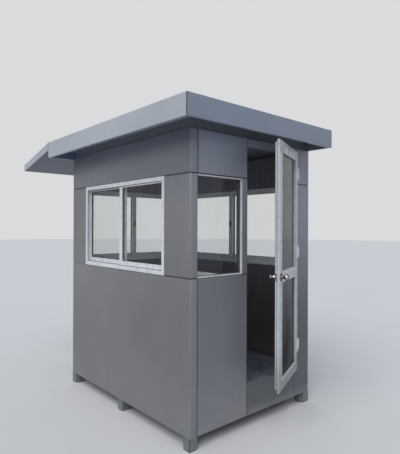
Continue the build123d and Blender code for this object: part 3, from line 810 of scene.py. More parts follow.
class Bench:
    """A mesh in the making, laid out on one elevation, which becomes one piece of the booth."""

    MERGE = 0.00001
    FLAT = radians(0.5)
    SHARP = radians(30.0)
    SCREW_STEPS = 10
    SCREW_CROWN = 0.45
    SCREW_HEAD = (
        (0.0, 0.15), (0.34, 0.15), (0.40, 1.0), (0.72, 0.86), (1.0, 0.25), (1.0, -0.1), (0.0, -0.1)
    )

    def __init__(self, face: Elevation = Elevation.PLAN) -> None:
        """Clears the bench for a mesh that is laid out on one elevation."""
        self.face = face
        self.mesh = bmesh.new()

    def copy(self, node: str, ease: float, segments: int = 2) -> None:
        """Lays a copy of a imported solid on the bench, merged into whole faces, with its edges eased.

        Args:
            node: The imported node.
            ease: The width of the eased edges.
            segments: Strips across each eased edge.
        """
        mesh = self.mesh
        mesh.from_mesh(frame["nodes"][node].data)
        bmesh.ops.remove_doubles(mesh, verts=mesh.verts, dist=self.MERGE)
        bmesh.ops.dissolve_limit(mesh, angle_limit=self.FLAT, verts=mesh.verts, edges=mesh.edges)
        for face in mesh.faces:
            face.smooth = any(self._bends(edge) for edge in face.edges)
        for edge in mesh.edges:
            edge.smooth = True
        self.ease(mesh.verts, ease, segments)

    def _bends(self, edge: bmesh.types.BMEdge) -> bool:
        """Whether an edge lies between two facets of one curved surface."""
        return edge.is_manifold and self.FLAT < edge.calc_face_angle() < self.SHARP

    def ease(self, verts: Sequence[bmesh.types.BMVert], width: float, segments: int = 2) -> None:
        """Rounds off the sharp edges at some vertices.

        Args:
            verts: The vertices of the shape.
            width: The width of the eased edge.
            segments: Strips across it.
        """
        edges = {edge for vert in verts for edge in vert.link_edges}
        sharp = [edge for edge in edges if edge.is_manifold and edge.calc_face_angle() > self.SHARP]
        eased = bmesh.ops.bevel(
            self.mesh,
            geom=sharp,
            offset=width,
            offset_type="OFFSET",
            affect="EDGES",
            segments=segments,
            profile=0.5,
            material=-1,
            clamp_overlap=True,
        )
        for face in eased["faces"]:
            face.smooth = True

    def bar(self, extent: Extent, ease: float = 0.0, turn: float = 0.0) -> None:
        """Adds a straight bar.

        Args:
            extent: The bar's box.
            ease: The width of its eased edges, or 0 for none.
            turn: How far it is turned about W, in degrees.
        """
        verts = bmesh.ops.create_cube(self.mesh, size=1.0)["verts"]
        bmesh.ops.scale(self.mesh, vec=extent.size, verts=verts)
        bmesh.ops.rotate(self.mesh, matrix=Matrix.Rotation(radians(turn), 3, "Z"), verts=verts)
        bmesh.ops.translate(self.mesh, vec=extent.middle, verts=verts)
        if ease:
            self.ease(verts, ease)

    def ring(self, outline: Extent, width: float, ease: float = 0.0) -> None:
        """Adds a frame of four bars.

        Args:
            outline: The frame's box.
            width: The width of the bars, inwards from the outline.
            ease: The width of their eased edges, or 0 for none.
        """
        mesh = self.mesh
        verts = bmesh.ops.create_grid(mesh, x_segments=1, y_segments=1, size=0.5)["verts"]
        bmesh.ops.scale(mesh, vec=(outline.size.x, outline.size.y, 1.0), verts=verts)
        bmesh.ops.translate(mesh, vec=(*outline.middle.xy, outline.w0), verts=verts)
        sheet = verts[0].link_faces[0]
        inset = bmesh.ops.inset_individual(mesh, faces=[sheet], thickness=width, use_even_offset=True)
        bars = inset["faces"]
        bmesh.ops.delete(mesh, geom=[sheet], context="FACES_ONLY")
        thick = bmesh.ops.extrude_face_region(mesh, geom=bars, use_keep_orig=True)["geom"]
        raised = [item for item in thick if isinstance(item, bmesh.types.BMVert)]
        bmesh.ops.translate(mesh, vec=(0, 0, outline.size.z), verts=raised)
        shape = {vert for face in bars for vert in face.verts} | set(raised)
        faces = {face for vert in shape for face in vert.link_faces}
        bmesh.ops.recalc_face_normals(mesh, faces=list(faces))
        if ease:
            self.ease(list(shape), ease)

    def turned(self, profile: Profile, at: Vector, out: Vector, steps: int = 32) -> None:
        """Adds a shape turned on a lathe.

        Args:
            profile: Radius and height of each point, from one end of the shape to the other.
            at: Where height 0 lies on the axis.
            out: The direction in which the height grows.
            steps: Facets round the axis.
        """
        mesh = self.mesh
        old = set(mesh.verts)
        line = [mesh.verts.new((radius, 0.0, height)) for radius, height in profile]
        edges = [mesh.edges.new(pair) for pair in zip(line, line[1:])]
        bmesh.ops.spin(
            mesh, geom=line + edges, cent=(0, 0, 0), axis=Z_AXIS, angle=2 * pi, steps=steps, use_merge=True
        )
        fresh = [vert for vert in mesh.verts if vert not in old]
        bmesh.ops.remove_doubles(mesh, verts=fresh, dist=self.MERGE)
        fresh = [vert for vert in fresh if vert.is_valid]
        faces = list({face for vert in fresh for face in vert.link_faces})
        bmesh.ops.recalc_face_normals(mesh, faces=faces)
        for face in faces:
            face.smooth = True
        for edge in {edge for face in faces for edge in face.edges}:
            if edge.calc_face_angle(0.0) > self.SHARP:
                edge.smooth = False
        bmesh.ops.rotate(mesh, matrix=out.to_track_quat("Z", "Y").to_matrix(), verts=fresh)
        bmesh.ops.translate(mesh, vec=at, verts=fresh)

    def screw(self, at: Vector, out: Vector, radius: float = 0.004) -> None:
        """Adds a raised screw head with a round drive.

        Args:
            at: Where its axis meets the surface.
            out: The way the head faces.
            radius: The head's radius.
        """
        crown = self.SCREW_CROWN * radius
        head = [(across * radius, up * crown) for across, up in self.SCREW_HEAD]
        self.turned(head, at, out, self.SCREW_STEPS)

    def done(
        self, name: str, finish: Finish, body: Body = Body.BOOTH, replaces: str | None = None
    ) -> None:
        """Takes the mesh off the bench and makes it a piece of the booth.

        Args:
            name: The piece's name.
            finish: What it is finished in.
            body: The body that it moves with.
            replaces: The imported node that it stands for, if any.
        """
        matrix = self.face.matrix
        bmesh.ops.transform(self.mesh, matrix=matrix, verts=self.mesh.verts)
        if matrix.determinant() < 0:
            bmesh.ops.reverse_faces(self.mesh, faces=self.mesh.faces)
        data = bpy.data.meshes.new(name)
        self.mesh.to_mesh(data)
        self.mesh.free()
        stale = data.attributes.get("custom_normal")
        if stale:
            data.attributes.remove(stale)
        data.materials.clear()
        data.materials.append(finish.material)
        piece = placed(name, data)
        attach(piece, body.value)
        if replaces:
            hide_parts(replaces)
        LOG.info("%s: %d faces, moves with the %s", name, len(data.polygons), body.value)


def eased_copy(
    node: str, finish: Finish, ease: float, body: Body = Body.BOOTH, segments: int = 2
) -> None:
    """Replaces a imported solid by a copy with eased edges.

    Args:
        node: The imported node.
        finish: What the copy is finished in.
        ease: The width of the eased edges.
        body: The body that the node moves with.
        segments: Strips across each eased edge.
    """
    bench = Bench()
    bench.copy(node, ease, segments)
    bench.done(f"{node}_eased", finish, body, replaces=node)


@dataclass(frozen=True)
class Glazing:
    """How a pane sits: the depth of its groove and the gaskets that close the groove on both faces."""

    bite: float = 0.008
    gasket: float = 0.0035
    ease: float = 0.001
    tucked: float = 0.0003

    def sight(self, pane: Extent) -> Extent:
        """The part of a pane that shows between its profiles."""
        return pane.spread(-self.bite)

    def faces(self, pane: Extent) -> tuple[Extent, Extent]:
        """The boxes of the gaskets on the outer and on the inner face of a pane."""
        rim = self.sight(pane).spread(self.tucked)
        return rim.at(pane.w0 - self.gasket, pane.w0), rim.at(pane.w1, pane.w1 + self.gasket)

    def seal(self, bench: Bench, pane: Extent) -> None:
        """Lays a gasket round both faces of a pane."""
        for face in self.faces(pane):
            bench.ring(face, self.gasket, self.ease)


@dataclass
class Legs:
    """The six feet: square tubes, with plates flush with the cladding and a slot at each corner."""

    size: float = 0.075
    slot: float = 0.0038
    tube_ease: float = 0.003
    ease: float = 0.0015
    clear: float = 0.001

    def facings(self, face: Elevation, middle: bool) -> None:
        """Adds the plates on one side.

        Args:
            face: The side.
            middle: Whether a leg stands in the middle of it too.
        """
        legs, top = face.span("legs"), face.span("base_beams").v0 - self.clear
        low, high = legs.u0 - legs.w0, legs.u1 + legs.w0
        plates = [(low + self.slot, low + self.size), (high - self.size, high - self.slot)]
        if middle:
            plates.append((legs.middle.x - self.size / 2, legs.middle.x + self.size / 2))
        bench = Bench(face)
        for start, end in plates:
            bench.bar(Extent(start, end, self.clear, top, 0.0, legs.w0), self.ease)
        bench.done(f"{face.value}_leg_facings", STEEL)

    def slots(self) -> None:
        """Fills the open slots between the plates at the corners with black bars: painted shade."""
        left, front = Elevation.LEFT.span("legs"), Elevation.FRONT.span("legs")
        inset = left.w0 - self.slot / 2
        top = Elevation.LEFT.span("base_beams").v0
        lines = Bench()
        for x in (front.u0 - inset, front.u1 + inset):
            for y in (left.u0 - inset, left.u1 + inset):
                lines.bar(Extent.about(x, y, self.slot, self.slot, self.clear, top))
        lines.done("leg_slot_shade", RUBBER)

    def build(self) -> None:
        """Builds the legs."""
        eased_copy("legs", STEEL, self.tube_ease)
        for face in (Elevation.LEFT, Elevation.RIGHT, Elevation.FRONT, Elevation.BACK):
            self.facings(face, face in (Elevation.LEFT, Elevation.RIGHT))
        self.slots()


@dataclass
class Cladding:
    """The grey cassettes of the four walls and the mastic in the joints between them."""

    fold: float = 0.0022
    seal_inset: float = 0.004
    seal_depth: float = 0.008
    seal_ease: float = 0.002

    @staticmethod
    def levels() -> tuple[tuple[float, float], tuple[float, float]]:
        """Reads where the cassettes leave a joint.

        Returns:
            The lower and upper edge of the joint at the sill, then of the joint at the head.
        """
        lower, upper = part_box("left_lower_panel"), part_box("left_upper_panel")
        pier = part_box("left_front_pier")
        return (lower[1].z, pier[0].z), (pier[1].z, upper[0].z)

    @staticmethod
    def runs() -> Iterator[tuple[Elevation, float, float]]:
        """The stretches of wall that the sill joint and the head joint both cross.

        Yields:
            The wall, and where the stretch starts and ends along it.
        """
        left = Elevation.LEFT.span("left_lower_panel")
        window = Elevation.LEFT.span("left_window_frame")
        yield Elevation.LEFT, left.u0, window.u0
        right = Elevation.RIGHT.span("right_wall_panels")
        yield Elevation.RIGHT, right.u0, window.u0
        yield Elevation.RIGHT, window.u1, right.u1
        back, opening = Elevation.BACK.span("back_wall_panels"), Elevation.BACK.span("back_window_frame")
        yield Elevation.BACK, back.u0, opening.u0
        yield Elevation.BACK, opening.u1, back.u1

    def front_joints(self) -> Iterator[tuple[float, float, float, float]]:
        """The joints of the front wall.

        Yields:
            The limits of one joint along U and V.
        """
        sill, head = self.levels()
        nodes = (
            "left_front_pier", "front_lower_panel", "front_upper_panel", "front_mid_pier",
            "threshold_panel", "front_right_pier", "door_header",
        )
        corner, lower, upper, pier, threshold, right, header = map(Elevation.FRONT.span, nodes)
        yield corner.u0, corner.u1, *sill
        yield pier.u0, lower.u1, *sill
        yield corner.u0, upper.u1, *head
        yield right.u0, right.u1, *head
        yield corner.u1, lower.u0, lower.v0, lower.v1
        yield corner.u1, upper.u0, upper.v0, upper.v1
        yield lower.u1, threshold.u0, threshold.v0, threshold.v1
        yield threshold.u1, right.u0, threshold.v0, threshold.v1
        yield upper.u1, header.u0, header.v0, header.v1
        yield header.u1, right.u0, header.v0, header.v1

    def seals(self) -> None:
        """Lays dark mastic at the bottom of every joint."""
        depth = (self.seal_inset, self.seal_inset + self.seal_depth)
        shared = {side: Bench(side) for side in (Elevation.LEFT, Elevation.RIGHT, Elevation.BACK)}
        for side, start, end in self.runs():
            for level in self.levels():
                shared[side].bar(Extent(start + self.seal_inset, end, *level, *depth), self.seal_ease)
        window, back = Elevation.LEFT.span("left_window_frame"), Elevation.LEFT.span("left_lower_panel")
        shared[Elevation.LEFT].bar(Extent(window.u1, back.u1, *self.levels()[1], *depth), self.seal_ease)
        for side, bench in shared.items():
            bench.done(f"{side.value}_joint_mastic", DARK_MASTIC)
        front = Bench(Elevation.FRONT)
        for joint in self.front_joints():
            front.bar(Extent(*joint, *depth), self.seal_ease)
        front.done("front_joint_mastic", DARK_MASTIC)

    def build(self) -> None:
        """Builds the cladding."""
        for finish, nodes in CASSETTES.items():
            for node in nodes:
                eased_copy(node, finish, self.fold)
        self.seals()


@dataclass
class Roof:
    """Fascias, eaves, rear canopy and roof sheet."""

    fold: float = 0.002
    seal: float = 0.007
    seal_set: float = 0.0003
    seal_ease: float = 0.0012
    rib_count: int = 4
    rib_width: float = 0.036
    rib_height: float = 0.012
    rib_ease: float = 0.006
    rib_sunk: float = 0.001
    screw: float = 0.006
    screw_pitch: float = 0.42
    edge_width: float = 0.012
    edge_height: float = 0.005
    edge_ease: float = 0.003
    canopy_tip: float = 0.075
    strip_margin: float = 0.06
    strip_width: float = 0.04
    strip_height: float = 0.006
    strip_ease: float = 0.002
    strip_short: float = 0.004
    strip_screws: int = 3
    strip_screw_ends: tuple[float, float] = (0.11, 0.05)

    def mitres(self) -> None:
        """Closes the four mitred corners of the fascia with a bead of dark mastic."""
        low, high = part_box("left_fascia")[0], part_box("right_fascia")[1]
        inset = (self.seal / 2 + self.seal_set) / 2**0.5
        depth = (low.z + self.fold, high.z - self.fold)
        bench = Bench()
        for x in (low.x + inset, high.x - inset):
            for y in (low.y + inset, high.y - inset):
                bench.bar(Extent.about(x, y, self.seal, self.seal, *depth), self.seal_ease, 45.0)
        bench.done("fascia_mitre_mastic", DARK_MASTIC)

    def sheet(self) -> None:
        """Adds the roof sheet's ribs, its screws and the mastic round its edge."""
        deck = Elevation.PLAN.span("roof_deck")
        ribs, screws, edge = Bench(), Bench(), Bench()
        width, length = deck.u1 - deck.u0, deck.v1 - deck.v0
        rows = int(length / self.screw_pitch)
        depth = (deck.w1 - self.rib_sunk, deck.w1 + self.rib_height)
        for i in range(self.rib_count):
            u = deck.u0 + (i + 1) * width / (self.rib_count + 1)
            ribs.bar(Extent.about(u, deck.middle.y, self.rib_width, length, *depth), self.rib_ease)
            for j in range(rows):
                v = deck.v0 + (j + 0.5) * length / rows
                screws.screw(Vector((u, v, depth[1])), Z_AXIS, self.screw)
        edge.ring(deck.at(deck.w1, deck.w1 + self.edge_height), self.edge_width, self.edge_ease)
        ribs.done("roof_ribs", ROOF)
        screws.done("roof_screws", ZINC)
        edge.done("roof_edge_mastic", MASTIC)

    def canopy(self) -> None:
        """Adds flat cover strips and screws down the slope of the rear canopy."""
        low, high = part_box("rear_canopy")
        fall, reach = high.z - low.z - self.canopy_tip, high.y - low.y
        length = (reach**2 + fall**2) ** 0.5
        slope = Matrix.Rotation(-acos(reach / length), 3, "X")
        pitch = (high.x - low.x - 2 * self.strip_margin) / (self.rib_count - 1)
        first, last = self.strip_screw_ends[0], length - self.strip_screw_ends[1]
        half = self.strip_width / 2
        along = (self.strip_margin, length - self.strip_short)
        strips, screws = Bench(), Bench()
        for i in range(self.rib_count):
            u = low.x + self.strip_margin + i * pitch
            strip = Extent(u - half, u + half, *along, -self.rib_sunk, self.strip_height)
            strips.bar(strip, self.strip_ease)
            for j in range(self.strip_screws):
                v = first + (last - first) * j / (self.strip_screws - 1)
                screws.screw(Vector((u, v, self.strip_height)), Z_AXIS)
        for bench, name, finish in ((strips, "canopy_strips", CANOPY), (screws, "canopy_screws", ZINC)):
            bmesh.ops.rotate(bench.mesh, matrix=slope, verts=bench.mesh.verts)
            bmesh.ops.translate(bench.mesh, vec=(0, low.y, high.z), verts=bench.mesh.verts)
            bench.done(name, finish)

    def build(self) -> None:
        """Builds the roof."""
        for node, finish in EAVES_BOARDS.items():
            eased_copy(node, finish, self.fold)
        self.mitres()
        self.sheet()
        self.canopy()


@dataclass
class SlidingWindow:
    """One sliding window: frame, two sashes, their seals and catches."""

    face: Elevation
    glazing: Glazing = Glazing()
    ease: float = 0.0012
    ridge: float = 0.003
    ridge_inset: float = 0.007
    frame_ridge_inset: float = 0.012
    proud: float = 0.0012
    wall_gap: float = 0.004
    mastic_depth: float = 0.006
    brush: float = 0.006
    lip: float = 0.034
    sash_brush_and_shade: float = 0.004
    catch_rise: float = 0.03
    pull_inset: float = 0.0135
    pull_width: float = 0.015
    pull_height: float = 0.07
    pull_rim: float = 0.003
    pull_lap: float = 0.002
    pull_proud: float = 0.0016
    pull_ease: float = 0.0005
    latch_width: float = 0.02
    latch_height: float = 0.066
    latch_plate: float = 0.004
    latch_ease: float = 0.0015
    latch_steps: int = 24
    latch_disc: Profile = (
        (0.0, 0.004), (0.0085, 0.004), (0.0105, 0.0055), (0.0105, 0.010), (0.009, 0.012), (0.0, 0.012)
    )
    lever_width: float = 0.008
    lever_reach: float = 0.045
    lever_depth: tuple[float, float] = (0.008, 0.013)
    lever_ease: float = 0.0018
    latch_screw: float = 0.0032
    latch_screw_inset: float = 0.008
    cap_width: float = 0.034
    cap_height: float = 0.007
    cap_depth: float = 0.003
    cap_inset: float = 0.2
    cap_rise: float = 0.009
    fixing: float = 0.005
    sill_fixings: tuple[float, ...] = (-0.28, 0.42)
    head_fixings: tuple[float, ...] = (-0.33, 0.4)
    near_fixings: tuple[float, ...] = (-0.12, 0.16)
    far_fixings: tuple[float, ...] = (-0.02,)

    def __post_init__(self) -> None:
        """Reads the window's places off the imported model."""
        self.side = self.face.value
        self.outline = self.face.span(f"{self.side}_window_frame")
        self.near, self.far = self.face.halves(f"{self.side}_window_sashes", 2)
        self.panes = self.face.halves(f"{self.side}_window_glass", 2)
        self.meeting = (self.near.u1 + self.far.u0) / 2

    def profiles(self) -> None:
        """Eases the edges of the frame and the sashes, and adds the ridges along them."""
        for part in ("frame", "sashes"):
            eased_copy(f"{self.side}_window_{part}", PROFILE, self.ease)
        ridges = Bench(self.face)
        line, face = self.outline.spread(-self.frame_ridge_inset), self.outline.w0
        ridges.ring(line.at(face - self.proud, face + SUNK), self.ridge, self.proud / 3)
        for sash, pane in zip((self.near, self.far), self.panes):
            line = self.glazing.sight(pane).spread(self.ridge_inset)
            for depth in ((sash.w0 - self.proud, sash.w0 + SUNK), (sash.w1 - SUNK, sash.w1 + self.proud)):
                ridges.ring(line.at(*depth), self.ridge, self.proud / 3)
        ridges.done(f"{self.side}_window_ridges", PROFILE)

    def seals(self) -> None:
        """Adds the glazing gaskets, the brush between the sashes and the mastic round the frame."""
        near, far = self.near, self.far
        gaskets = Bench(self.face)
        for pane in self.panes:
            self.glazing.seal(gaskets, pane)
        gaskets.bar(
            Extent.about(self.meeting, near.middle.y, self.brush, near.size.y - self.brush, near.w1, far.w0)
        )
        opening = self.outline.spread(-self.lip)
        # Dark strips on the sashes along the frame's lip: brush seals, and painted shadow of the gap under the
        # lip.
        for sash, start, end in ((near, opening.u0, near.u1), (far, far.u0, opening.u1)):
            strip = replace(opening, u0=start, u1=end, w0=sash.w0 - self.proud, w1=sash.w0)
            for edge in strip.edged(self.sash_brush_and_shade)[:2]:
                gaskets.bar(edge)
            if sash is near:
                gaskets.bar(replace(strip, u1=start + self.sash_brush_and_shade))
        gaskets.done(f"{self.side}_window_gaskets", RUBBER)
        mastic = Bench(self.face)
        mastic.ring(self.outline.spread(self.wall_gap).at(0.0, self.mastic_depth), self.wall_gap, self.ease)
        mastic.done(f"{self.side}_window_mastic", MASTIC)

    def pull(self, level: float) -> None:
        """Adds the dished pull in the stile of the inner sash.

        Args:
            level: The height of its middle.
        """
        face, u = self.far.w0, self.far.u0 + self.pull_inset
        plate = Extent.about(u, level, self.pull_width, self.pull_height, face - self.pull_proud, face)
        pull = Bench(self.face)
        pull.ring(plate, self.pull_rim, self.pull_ease)
        pull.bar(plate.spread(-self.pull_lap).at(face - self.pull_ease, face + self.pull_ease))
        pull.done(f"{self.side}_window_pull", TRIM)

    def latch(self, level: float) -> None:
        """Adds the crescent latch on the room side of the inner sash.

        Args:
            level: The height of its middle.
        """
        u, back = self.meeting, self.far.w1
        latch = Bench(self.face)
        base = Extent.about(u, level, self.latch_width, self.latch_height, back, back + self.latch_plate)
        latch.bar(base, self.latch_ease)
        latch.turned(self.latch_disc, Vector((u, level, back)), Z_AXIS, self.latch_steps)
        depth = [back + rise for rise in self.lever_depth]
        middle = level + self.lever_reach / 2
        latch.bar(Extent.about(u, middle, self.lever_width, self.lever_reach, *depth), self.lever_ease)
        for v in (base.v0 + self.latch_screw_inset, base.v1 - self.latch_screw_inset):
            latch.screw(Vector((u, v, base.w1)), Z_AXIS, self.latch_screw)
        latch.done(f"{self.side}_window_latch", TRIM)

    def weep_caps(self) -> None:
        """Adds the two caps over the drain slots in the sill."""
        outline = self.outline
        v = outline.v0 + self.cap_rise
        depth = (outline.w0 - self.cap_depth, outline.w0)
        caps = Bench(self.face)
        for u in (outline.u0 + self.cap_inset, outline.u1 - self.cap_inset):
            caps.bar(Extent.about(u, v, self.cap_width, self.cap_height, *depth), self.ease)
        caps.done(f"{self.side}_window_weep_caps", PROFILE)

    def fixings(self) -> None:
        """Adds the dark capped screws that hold the frame to the wall."""
        line = self.outline.spread(-self.lip / 2)
        x, y = line.middle.xy
        spots = [(x + shift, line.v0) for shift in self.sill_fixings]
        spots += [(x + shift, line.v1) for shift in self.head_fixings]
        spots += [(line.u0, y + rise) for rise in self.near_fixings]
        spots += [(line.u1, y + rise) for rise in self.far_fixings]
        screws = Bench(self.face)
        for spot in spots:
            screws.screw(Vector((*spot, line.w0)), -Z_AXIS, self.fixing)
        screws.done(f"{self.side}_window_fixings", TRIM)

    def build(self) -> None:
        """Builds the window's dressing."""
        self.profiles()
        self.seals()
        level = self.far.middle.y + self.catch_rise
        self.pull(level)
        self.latch(level)
        self.weep_caps()
        self.fixings()


@dataclass
class CornerWindow:
    """The fixed window beside the corner: three slim bars and the pane behind them."""

    glazing: Glazing = Glazing()
    ease: float = 0.001
    liner: float = 0.001
    post_width: float = 0.005
    post_face: float = 0.018
    post_gap: float = 0.001

    def build(self) -> None:
        """Eases the bars, seals the pane all round and lines the room side of the opening."""
        eased_copy("front_window_frame", PROFILE, self.ease)
        front = Elevation.FRONT
        pane, bars = front.span("front_window_glass"), front.span("front_window_frame")
        gaskets, liner = Bench(front), Bench(front)
        faces = [replace(face, u0=bars.u0) for face in self.glazing.faces(pane)]
        for face in faces:
            for strip in face.edged(self.glazing.gasket):
                gaskets.bar(strip, self.glazing.ease)
        sight = faces[0]
        far = front.span("left_front_pier").u1 - self.post_gap
        post = Extent(far - self.post_width, far, sight.v0, sight.v1, self.post_face, pane.w0)
        gaskets.bar(post, self.glazing.ease)
        gaskets.done("front_window_gaskets", RUBBER)
        for strip in sight.at(pane.w1 + self.glazing.gasket, bars.w1).edged(self.liner):
            liner.bar(strip)
        liner.done("front_window_liner", TRIM)


@dataclass
class Door:
    """The door leaf with its beads, gaskets, corner joints, seal and screws."""

    glazing: Glazing = Glazing()
    ease: float = 0.0015
    bead: float = 0.011
    bead_proud: float = 0.0016
    bead_ease: float = 0.0006
    groove: float = 0.0026
    line: float = 0.0011
    seal: float = 0.008
    seal_inset: float = 0.003
    seal_thickness: float = 0.0034
    seal_ease: float = 0.001
    lap: float = 0.018
    stile: float = 0.09
    screw: float = 0.0045
    edge_screws: tuple[float, ...] = (0.027, 0.080)
    top_screw: float = 0.040
    rail_screws: tuple[float, ...] = (0.05, 0.25, 0.46)
    rail_screw_rise: float = 0.03

    def __post_init__(self) -> None:
        """Reads the leaf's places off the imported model."""
        self.leaf = Elevation.LEAF.span("door_leaf")
        self.panes = Elevation.LEAF.halves("door_glass", 1)
        self.sights = [self.glazing.sight(pane) for pane in self.panes]

    def skins(self, proud: float) -> tuple[tuple[float, float], tuple[float, float]]:
        """The two depths of something that stands a little proud of the leaf's outer and inner face."""
        return (self.leaf.w0 - proud, self.leaf.w0 + SUNK), (self.leaf.w1 - SUNK, self.leaf.w1 + proud)

    def beads(self) -> None:
        """Adds the beads round both panes, dark lines beside them as painted groove shadow and the gaskets against
        the glass.
        """
        beads, groove_shade, gaskets = Bench(Elevation.LEAF), Bench(Elevation.LEAF), Bench(Elevation.LEAF)
        for sight, pane in zip(self.sights, self.panes):
            rim = sight.spread(self.bead)
            for depth in self.skins(self.bead_proud):
                beads.ring(rim.at(*depth), self.bead, self.bead_ease)
            for depth in self.skins(SUNK):
                groove_shade.ring(rim.spread(self.groove).at(*depth), self.groove)
            self.glazing.seal(gaskets, pane)
        beads.done("door_beads", PROFILE, Body.DOOR)
        groove_shade.done("door_bead_groove_shade", DARK_MASTIC, Body.DOOR)
        gaskets.done("door_gaskets", RUBBER, Body.DOOR)

    def joints(self) -> None:
        """Draws the mitred corners of the leaf and the butt joints of its lock rail as fine dark lines."""
        lines = Bench(Elevation.LEAF)
        lower, upper = self.sights
        low, high = lower.v1 + self.bead, upper.v0 - self.bead
        for depth, lap in zip(self.skins(SUNK), (0.0, self.lap)):
            reach = (self.stile - lap) / 2
            corners = self.leaf.spread(-lap - reach)
            length = 2 * reach * 2**0.5
            for u, side in ((corners.u0, 1), (corners.u1, -1)):
                for v, turn in ((corners.v0, 45), (corners.v1, -45)):
                    lines.bar(Extent.about(u, v, length, self.line, *depth), 0.0, side * turn)
            for u in (lower.u0, lower.u1):
                lines.bar(Extent.about(u, (low + high) / 2, self.line, high - low, *depth))
        lines.done("door_joint_lines", DARK_MASTIC, Body.DOOR)

    def weather_seal(self) -> None:
        """Runs a rubber seal round the back of the lap."""
        back = self.leaf.w0 + self.lap
        seal = Bench(Elevation.LEAF)
        rim = self.leaf.spread(-self.seal_inset).at(back, back + self.seal_thickness)
        seal.ring(rim, self.seal, self.seal_ease)
        seal.done("door_weather_seal", RUBBER, Body.DOOR)

    def screws(self) -> None:
        """Puts the corner screws in the free edge and in the bottom rail."""
        leaf = self.leaf
        screws = Bench(Elevation.LEAF)
        for v in [leaf.v0 + rise for rise in self.edge_screws] + [leaf.v1 - self.top_screw]:
            screws.screw(Vector((leaf.u1, v, leaf.w0 + self.lap / 2)), X_AXIS, self.screw)
        level = leaf.v0 + self.rail_screw_rise
        for inset in self.rail_screws:
            screws.screw(Vector((leaf.u1 - inset, level, leaf.w0)), -Z_AXIS, self.screw)
        screws.done("door_corner_screws", ZINC, Body.DOOR)

    def build(self) -> None:
        """Builds the door's dressing."""
        eased_copy("door_leaf", LEAF_PROFILE, self.ease, Body.DOOR)
        self.beads()
        self.joints()
        self.weather_seal()
        self.screws()


